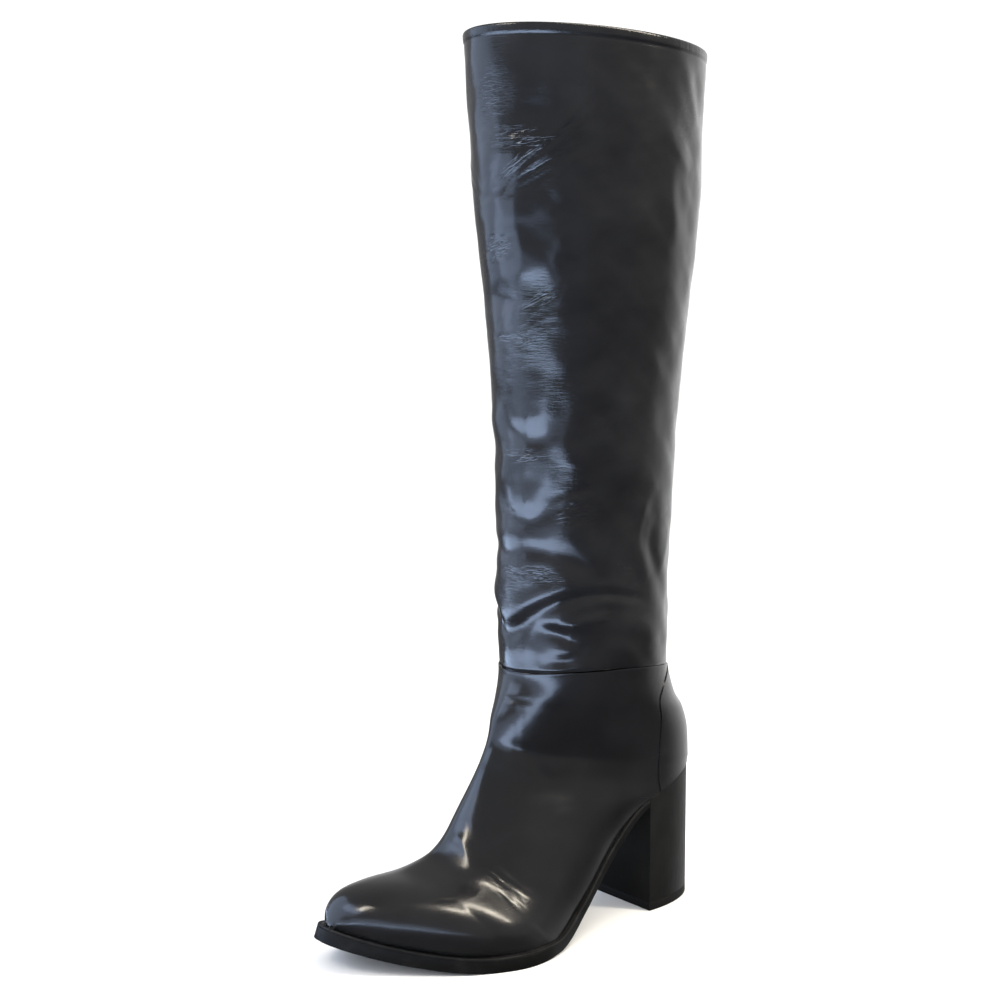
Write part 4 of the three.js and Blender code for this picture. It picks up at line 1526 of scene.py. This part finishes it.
def waxed_edge(name, share):
    """Dark waxed edge with fine lines along the layers and small scuffs, lighter by a share."""
    material, tree, shader, place = new_material(name, {"Specular IOR Level": 0.2})
    lines = noise(tree, stretched(tree, place, (1, 1, 8)), scale=160, detail=4, rough=0.6)
    scuffs = noise(tree, place, scale=90, detail=5, rough=0.7)
    colour = lighter(bpy.context.scene.boot_sole.edge_colour, share)
    colour = mixed(tree, ranged(tree, scuffs, (0.5, 0.75), (0, 1)), colour, lighter(colour, 2.2))
    rough = ranged(tree, lines, (0.3, 0.7), (0.36, 0.52))
    normal = bump(tree, math_node(tree, "ADD", lines, scuffs), 0.25, 0.0004)
    clad(tree, shader, colour, rough, normal)
    return material


@made_once
def waxed_sole_edge(name):
    """Edge and tread of the outsole."""
    return waxed_edge(name, 1.0)


@made_once
def waxed_welt(name):
    """Edge and top of the welt, a little lighter than the outsole."""
    return waxed_edge(name, 2.4)


@made_once
def lacquered_heel(name):
    """Satin black heel cover, faintly brushed upright."""
    material, tree, shader, place = new_material(name, {"Specular IOR Level": 0.22})
    brushed = noise(tree, stretched(tree, place, (6, 6, 1)), scale=90, detail=4, rough=0.6)
    cloud = noise(tree, place, scale=30, detail=3)
    colour = tuple(bpy.context.scene.boot_sole.heel_colour)
    colour = mixed(tree, ranged(tree, cloud, (0.4, 0.7), (0, 1)), colour, lighter(colour, 1.7))
    rough = ranged(tree, brushed, (0.3, 0.7), (0.34, 0.46))
    clad(tree, shader, colour, rough, bump(tree, brushed, 0.12, 0.0003))
    return material


@made_once
def black_rubber(name):
    """Matt rubber of the top piece."""
    material, tree, shader, place = new_material(name, {"Specular IOR Level": 0.2})
    grit = noise(tree, place, scale=600, detail=4, rough=0.7)
    colour = mixed(tree, grit, (0.004, 0.004, 0.004), (0.011, 0.011, 0.011))
    rough = ranged(tree, grit, (0.3, 0.7), (0.5, 0.66))
    clad(tree, shader, colour, rough, bump(tree, grit, 0.3, 0.0003))
    return material


@made_once
def lining_leather(name):
    """Matt dark lining with a fine nap."""
    material, tree, shader, place = new_material(name, {"Specular IOR Level": 0.25})
    nap = noise(tree, place, scale=900, detail=4, rough=0.7)
    cloud = noise(tree, place, scale=25, detail=3)
    colour = mixed(tree, cloud, (0.022, 0.019, 0.017), (0.05, 0.043, 0.038))
    rough = ranged(tree, nap, (0.3, 0.7), (0.65, 0.85))
    clad(tree, shader, colour, rough, bump(tree, nap, 0.35, 0.0003))
    return material


@made_once
def pale_floor(name):
    """Plain pale studio floor."""
    material, tree, shader, place = new_material(name, {"Specular IOR Level": 0.2})
    cloud = noise(tree, place, scale=3, detail=2)
    colour = mixed(tree, cloud, (0.95, 0.95, 0.95), (0.97, 0.97, 0.97))
    tree.links.new(colour, shader.inputs["Base Color"])
    tree.links.new(ranged(tree, cloud, (0, 1), (0.6, 0.7)), shader.inputs["Roughness"])
    return material


# The camera of the photo: place, direction and lens
CAMERA_PLACE = (0.7316, -0.5856, 0.350)
CAMERA_AZIMUTH = 52.0
CAMERA_PITCH = 6.5
CAMERA_LENS = 61.56
SENSOR = 36.0

# Colours of the panels and of the lamps, and the places that they face
COOL = (0.54, 0.7, 1.0)
WARM = (1.0, 0.91, 0.76)
AIM = Vector((0.0, 0.03, 0.25))
LAMP_AIM = Vector((0.0, -0.09, 0.04))

# Upright panels, each seen from the boot by its bearing to the left of the camera: width as a bearing from
# and to, height from and to in metres, distance, and power in watts for one square metre
LIGHTS = (
    ("name", "from_bearing", "to_bearing", "low", "high", "distance", "power"),
    ("window_left", 76, 124, 0.0, 1.25, 1.7, 4.6),
    ("window_front", 50, 76, 0.7, 1.4, 1.7, 3.5),
    ("window_low", -1, 78, 0.05, 0.235, 1.15, 3.7),
    ("window_instep", 50, 88, 0.25, 0.42, 0.5, 7.0),
)

# Patches of bright floor to the left of the camera: bearing from and to, distance from and to, and power in
# watts for one square metre. They lie just above the floor.
GLOWS = (
    ("name", "from_bearing", "to_bearing", "near", "far", "power"),
    ("floor_glow_front", 0, 56, 0.36, 1.1, 25.0),
    ("floor_glow_left", 56, 112, 0.36, 1.1, 20.0),
)
GLOW_HEIGHT = 0.004

# Warm lamps: direction from the boot as azimuth and elevation, distance, width and length, and power in
# watts
LAMPS = (
    ("name", "azimuth", "elevation", "distance", "width", "length", "power"),
    ("lamp_above", 45, 56, 1.3, 0.13, 1.15, 13.0),
    ("lamp_left", -97, 52, 1.3, 0.16, 0.45, 4.5),
)

# The room that the gloss mirrors: where the wall behind the boot lies, how near to it a direction is where it
# starts and is brightest, and the height over which the room grows brighter
WALL_BEARING = math.radians(112)
WALL_EDGE = (0.64, 0.98)
ROOM_RISE = (-0.35, 0.06)


def bearing_point(bearing, distance, height):
    """A place round the boot, by its bearing to the left of the camera."""
    towards = math.atan2(CAMERA_PLACE[1] - AIM.y, CAMERA_PLACE[0] - AIM.x) - math.radians(bearing)
    return Vector((AIM.x + distance * math.cos(towards), AIM.y + distance * math.sin(towards), height))


def area_light(name, place, size, power, colour, aim=AIM):
    """A soft panel that faces the boot and isn't seen by the camera."""
    bpy.ops.object.light_add(type="AREA", location=place)
    light = bpy.context.object
    light.name = name
    light.data.shape = "RECTANGLE"
    light.data.size, light.data.size_y = size
    light.data.energy = power
    light.data.color = colour
    light.rotation_euler = (aim - place).to_track_quat("-Z", "Y").to_euler()
    light.visible_camera = False
    return light


def studio_world(studio):
    """White surroundings, which gloss mirrors as a dim room with a brighter wall behind the boot."""
    world = bpy.data.worlds.new("studio")
    world.use_nodes = True
    tree = world.node_tree
    direction = put(tree, "TexCoord").outputs["Generated"]
    height = put(tree, "SeparateXYZ", {"Vector": direction}).outputs["Z"]
    towards_wall = (math.cos(WALL_BEARING), math.sin(WALL_BEARING), 0)
    behind = put(tree, "VectorMath", {0: direction, 1: towards_wall}, operation="DOT_PRODUCT")
    room = ranged(tree, height, ROOM_RISE, (studio.room_low, studio.room_high))
    wall = ranged(tree, behind.outputs["Value"], WALL_EDGE, (0, studio.wall))
    room = math_node(tree, "ADD", room, wall)
    glossy = put(tree, "LightPath").outputs["Is Glossy Ray"]
    light = math_node(tree, "MULTIPLY", math_node(tree, "SUBTRACT", room, studio.ambience), glossy)
    light = math_node(tree, "ADD", light, studio.ambience)
    tree.links.new(light, tree.nodes["Background"].inputs["Strength"])
    tree.nodes["Background"].inputs["Color"].default_value = (1.0, 1.0, 1.0, 1)
    return world


def pale_ground(studio):
    """The plain floor, which the gloss doesn't mirror."""
    deselect()
    bpy.ops.mesh.primitive_circle_add(vertices=96, radius=studio.floor_radius, fill_type="NGON")
    floor = bpy.context.object
    floor.name = "studio_floor"
    floor.data.materials.append(pale_floor())
    floor.visible_glossy = False


def windows(studio):
    """The cool upright panels."""
    for row in named_rows(LIGHTS):
        start = bearing_point(row["from_bearing"], row["distance"], row["low"])
        end = bearing_point(row["to_bearing"], row["distance"], row["high"])
        size = (math.hypot(end.x - start.x, end.y - start.y), row["high"] - row["low"])
        power = row["power"] * size[0] * size[1] * studio.window_power
        area_light(row["name"], 0.5 * (start + end), size, power, COOL)


def floor_glows(studio):
    """The cool patches of bright floor, which face up."""
    for row in named_rows(GLOWS):
        middle = 0.5 * (row["from_bearing"] + row["to_bearing"])
        half = math.radians(0.5 * (row["to_bearing"] - row["from_bearing"]))
        distance = 0.5 * (row["near"] + row["far"])
        place = bearing_point(middle, distance, GLOW_HEIGHT)
        size = (2 * distance * math.tan(half), row["far"] - row["near"])
        power = row["power"] * size[0] * size[1] * studio.window_power
        glow = area_light(row["name"], place, size, power, COOL)
        towards = place - AIM
        glow.rotation_euler = (math.pi, 0, math.atan2(towards.y, towards.x) - 0.5 * math.pi)


def lamps(studio):
    """The warm lamps."""
    for row in named_rows(LAMPS):
        turn, rise = math.radians(row["azimuth"]), math.radians(row["elevation"])
        towards = Vector((math.cos(rise) * math.cos(turn), math.cos(rise) * math.sin(turn), math.sin(rise)))
        place = LAMP_AIM + row["distance"] * towards
        power = row["power"] * studio.lamp_power
        area_light(row["name"], place, (row["width"], row["length"]), power, WARM, LAMP_AIM)


def camera():
    """The camera, at the photo's angle."""
    bpy.ops.object.camera_add(location=CAMERA_PLACE)
    made = bpy.context.object
    made.data.sensor_width = SENSOR
    made.data.lens = CAMERA_LENS
    made.rotation_euler = (math.radians(90 - CAMERA_PITCH), 0, math.radians(CAMERA_AZIMUTH))
    return made


class BOOT_OT_studio(bpy.types.Operator):
    """Sets the floor, the lights and the camera"""

    bl_idname = "boot.studio"
    bl_label = "Studio"

    def execute(self, context):
        scene = context.scene
        pale_ground(scene.boot_studio)
        scene.world = studio_world(scene.boot_studio)
        windows(scene.boot_studio)
        floor_glows(scene.boot_studio)
        lamps(scene.boot_studio)
        bpy.context.scene.camera = camera()
        scene.view_settings.view_transform = "Standard"
        scene.view_settings.look = "None"
        return {"FINISHED"}


class BootLeather(bpy.types.PropertyGroup):
    """The finish of the leather"""

    colour: bpy.props.FloatVectorProperty(
        name="Colour", description="Colour of the black leather", subtype="COLOR",
        default=(0.006, 0.006, 0.0066),
    )
    roughness: bpy.props.FloatProperty(
        name="Roughness", description="Roughness of the leather under its polish", subtype="FACTOR",
        default=0.2,
    )
    polish_roughness: bpy.props.FloatProperty(
        name="Polish roughness", description="Roughness of the polish", subtype="FACTOR", default=0.1,
    )
    grain: bpy.props.FloatProperty(
        name="Grain", description="Strength of the pores and fine grain", subtype="FACTOR", default=0.12,
    )
    wrinkle: bpy.props.FloatProperty(
        name="Wrinkles", description="Strength of the fine level wrinkles", subtype="FACTOR", default=0.2,
    )
    patch: bpy.props.FloatProperty(
        name="Wrinkle patches", description="Strength of the patches of fine creases", subtype="FACTOR",
        default=0.45,
    )
    wave: bpy.props.FloatProperty(
        name="Waves", description="Strength of the soft unevenness", subtype="FACTOR", default=0.12,
    )
    crease_depth: bpy.props.FloatProperty(
        name="Crease depth", description="Share of the tabled depth of the leg's creases", subtype="FACTOR",
        default=0.65,
    )


class BootSole(bpy.types.PropertyGroup):
    """The finish of the sole and heel"""

    edge_colour: bpy.props.FloatVectorProperty(
        name="Edge colour", description="Colour of the sole's edge", subtype="COLOR",
        default=(0.0045, 0.0045, 0.0046),
    )
    heel_colour: bpy.props.FloatVectorProperty(
        name="Heel colour", description="Colour of the heel", subtype="COLOR", default=(0.007, 0.007, 0.007),
    )
    notch_pitch: bpy.props.FloatProperty(
        name="Wheel mark pitch", description="Step from one wheel mark to the next", unit="LENGTH",
        default=0.0013, precision=4,
    )
    notch_depth: bpy.props.FloatProperty(
        name="Wheel mark depth", description="Depth of the wheel marks", unit="LENGTH",
        default=0.00045, precision=5,
    )


class BootStudio(bpy.types.PropertyGroup):
    """The studio round the boot"""

    ambience: bpy.props.FloatProperty(
        name="Ambience", description="Brightness of the white surroundings", default=1.16,
    )
    room_low: bpy.props.FloatProperty(
        name="Room below", description="Brightness of the low part of the room in the gloss", default=0.04,
    )
    room_high: bpy.props.FloatProperty(
        name="Room", description="Brightness of the room in the gloss", default=0.3,
    )
    wall: bpy.props.FloatProperty(
        name="Wall", description="Brightness of the wall behind the boot in the gloss", default=0.75,
    )
    window_power: bpy.props.FloatProperty(
        name="Window power", description="Share of the window light", default=1.0,
    )
    lamp_power: bpy.props.FloatProperty(
        name="Lamp power", description="Share of the warm lamps", default=1.0,
    )
    floor_radius: bpy.props.FloatProperty(
        name="Floor radius", description="Radius of the floor", unit="LENGTH", default=8.0,
    )


PIECES = ("shaft", "lining", "insole", "foot", "counter", "sole", "heel", "studio")


class BOOT_PT_panel(bpy.types.Panel):
    """Lists the sizes, finishes and pieces of the boot"""

    bl_label = "Boot"
    bl_idname = "BOOT_PT_panel"
    bl_space_type = "VIEW_3D"
    bl_region_type = "UI"
    bl_category = "Boot"

    def draw(self, context):
        scene = context.scene
        for group in (scene.boot_leather, scene.boot_sole, scene.boot_studio):
            box = self.layout.box()
            for name in group.__annotations__:
                box.prop(group, name)
        for name in PIECES:
            self.layout.operator("boot." + name)


CLASSES = (
    BootLeather,
    BootSole,
    BootStudio,
    BOOT_OT_shaft,
    BOOT_OT_lining,
    BOOT_OT_insole,
    BOOT_OT_foot,
    BOOT_OT_counter,
    BOOT_OT_sole,
    BOOT_OT_heel,
    BOOT_OT_studio,
    BOOT_PT_panel,
)
GROUPS = {"boot_leather": BootLeather, "boot_sole": BootSole, "boot_studio": BootStudio}


def register():
    for cls in CLASSES:
        bpy.utils.register_class(cls)
    for name, group in GROUPS.items():
        setattr(bpy.types.Scene, name, bpy.props.PointerProperty(type=group))


def unregister():
    for name in GROUPS:
        delattr(bpy.types.Scene, name)
    for cls in reversed(CLASSES):
        bpy.utils.unregister_class(cls)


def main():
    register()
    for name in PIECES:
        getattr(bpy.ops.boot, name)()


if __name__ == "__main__":
    main()
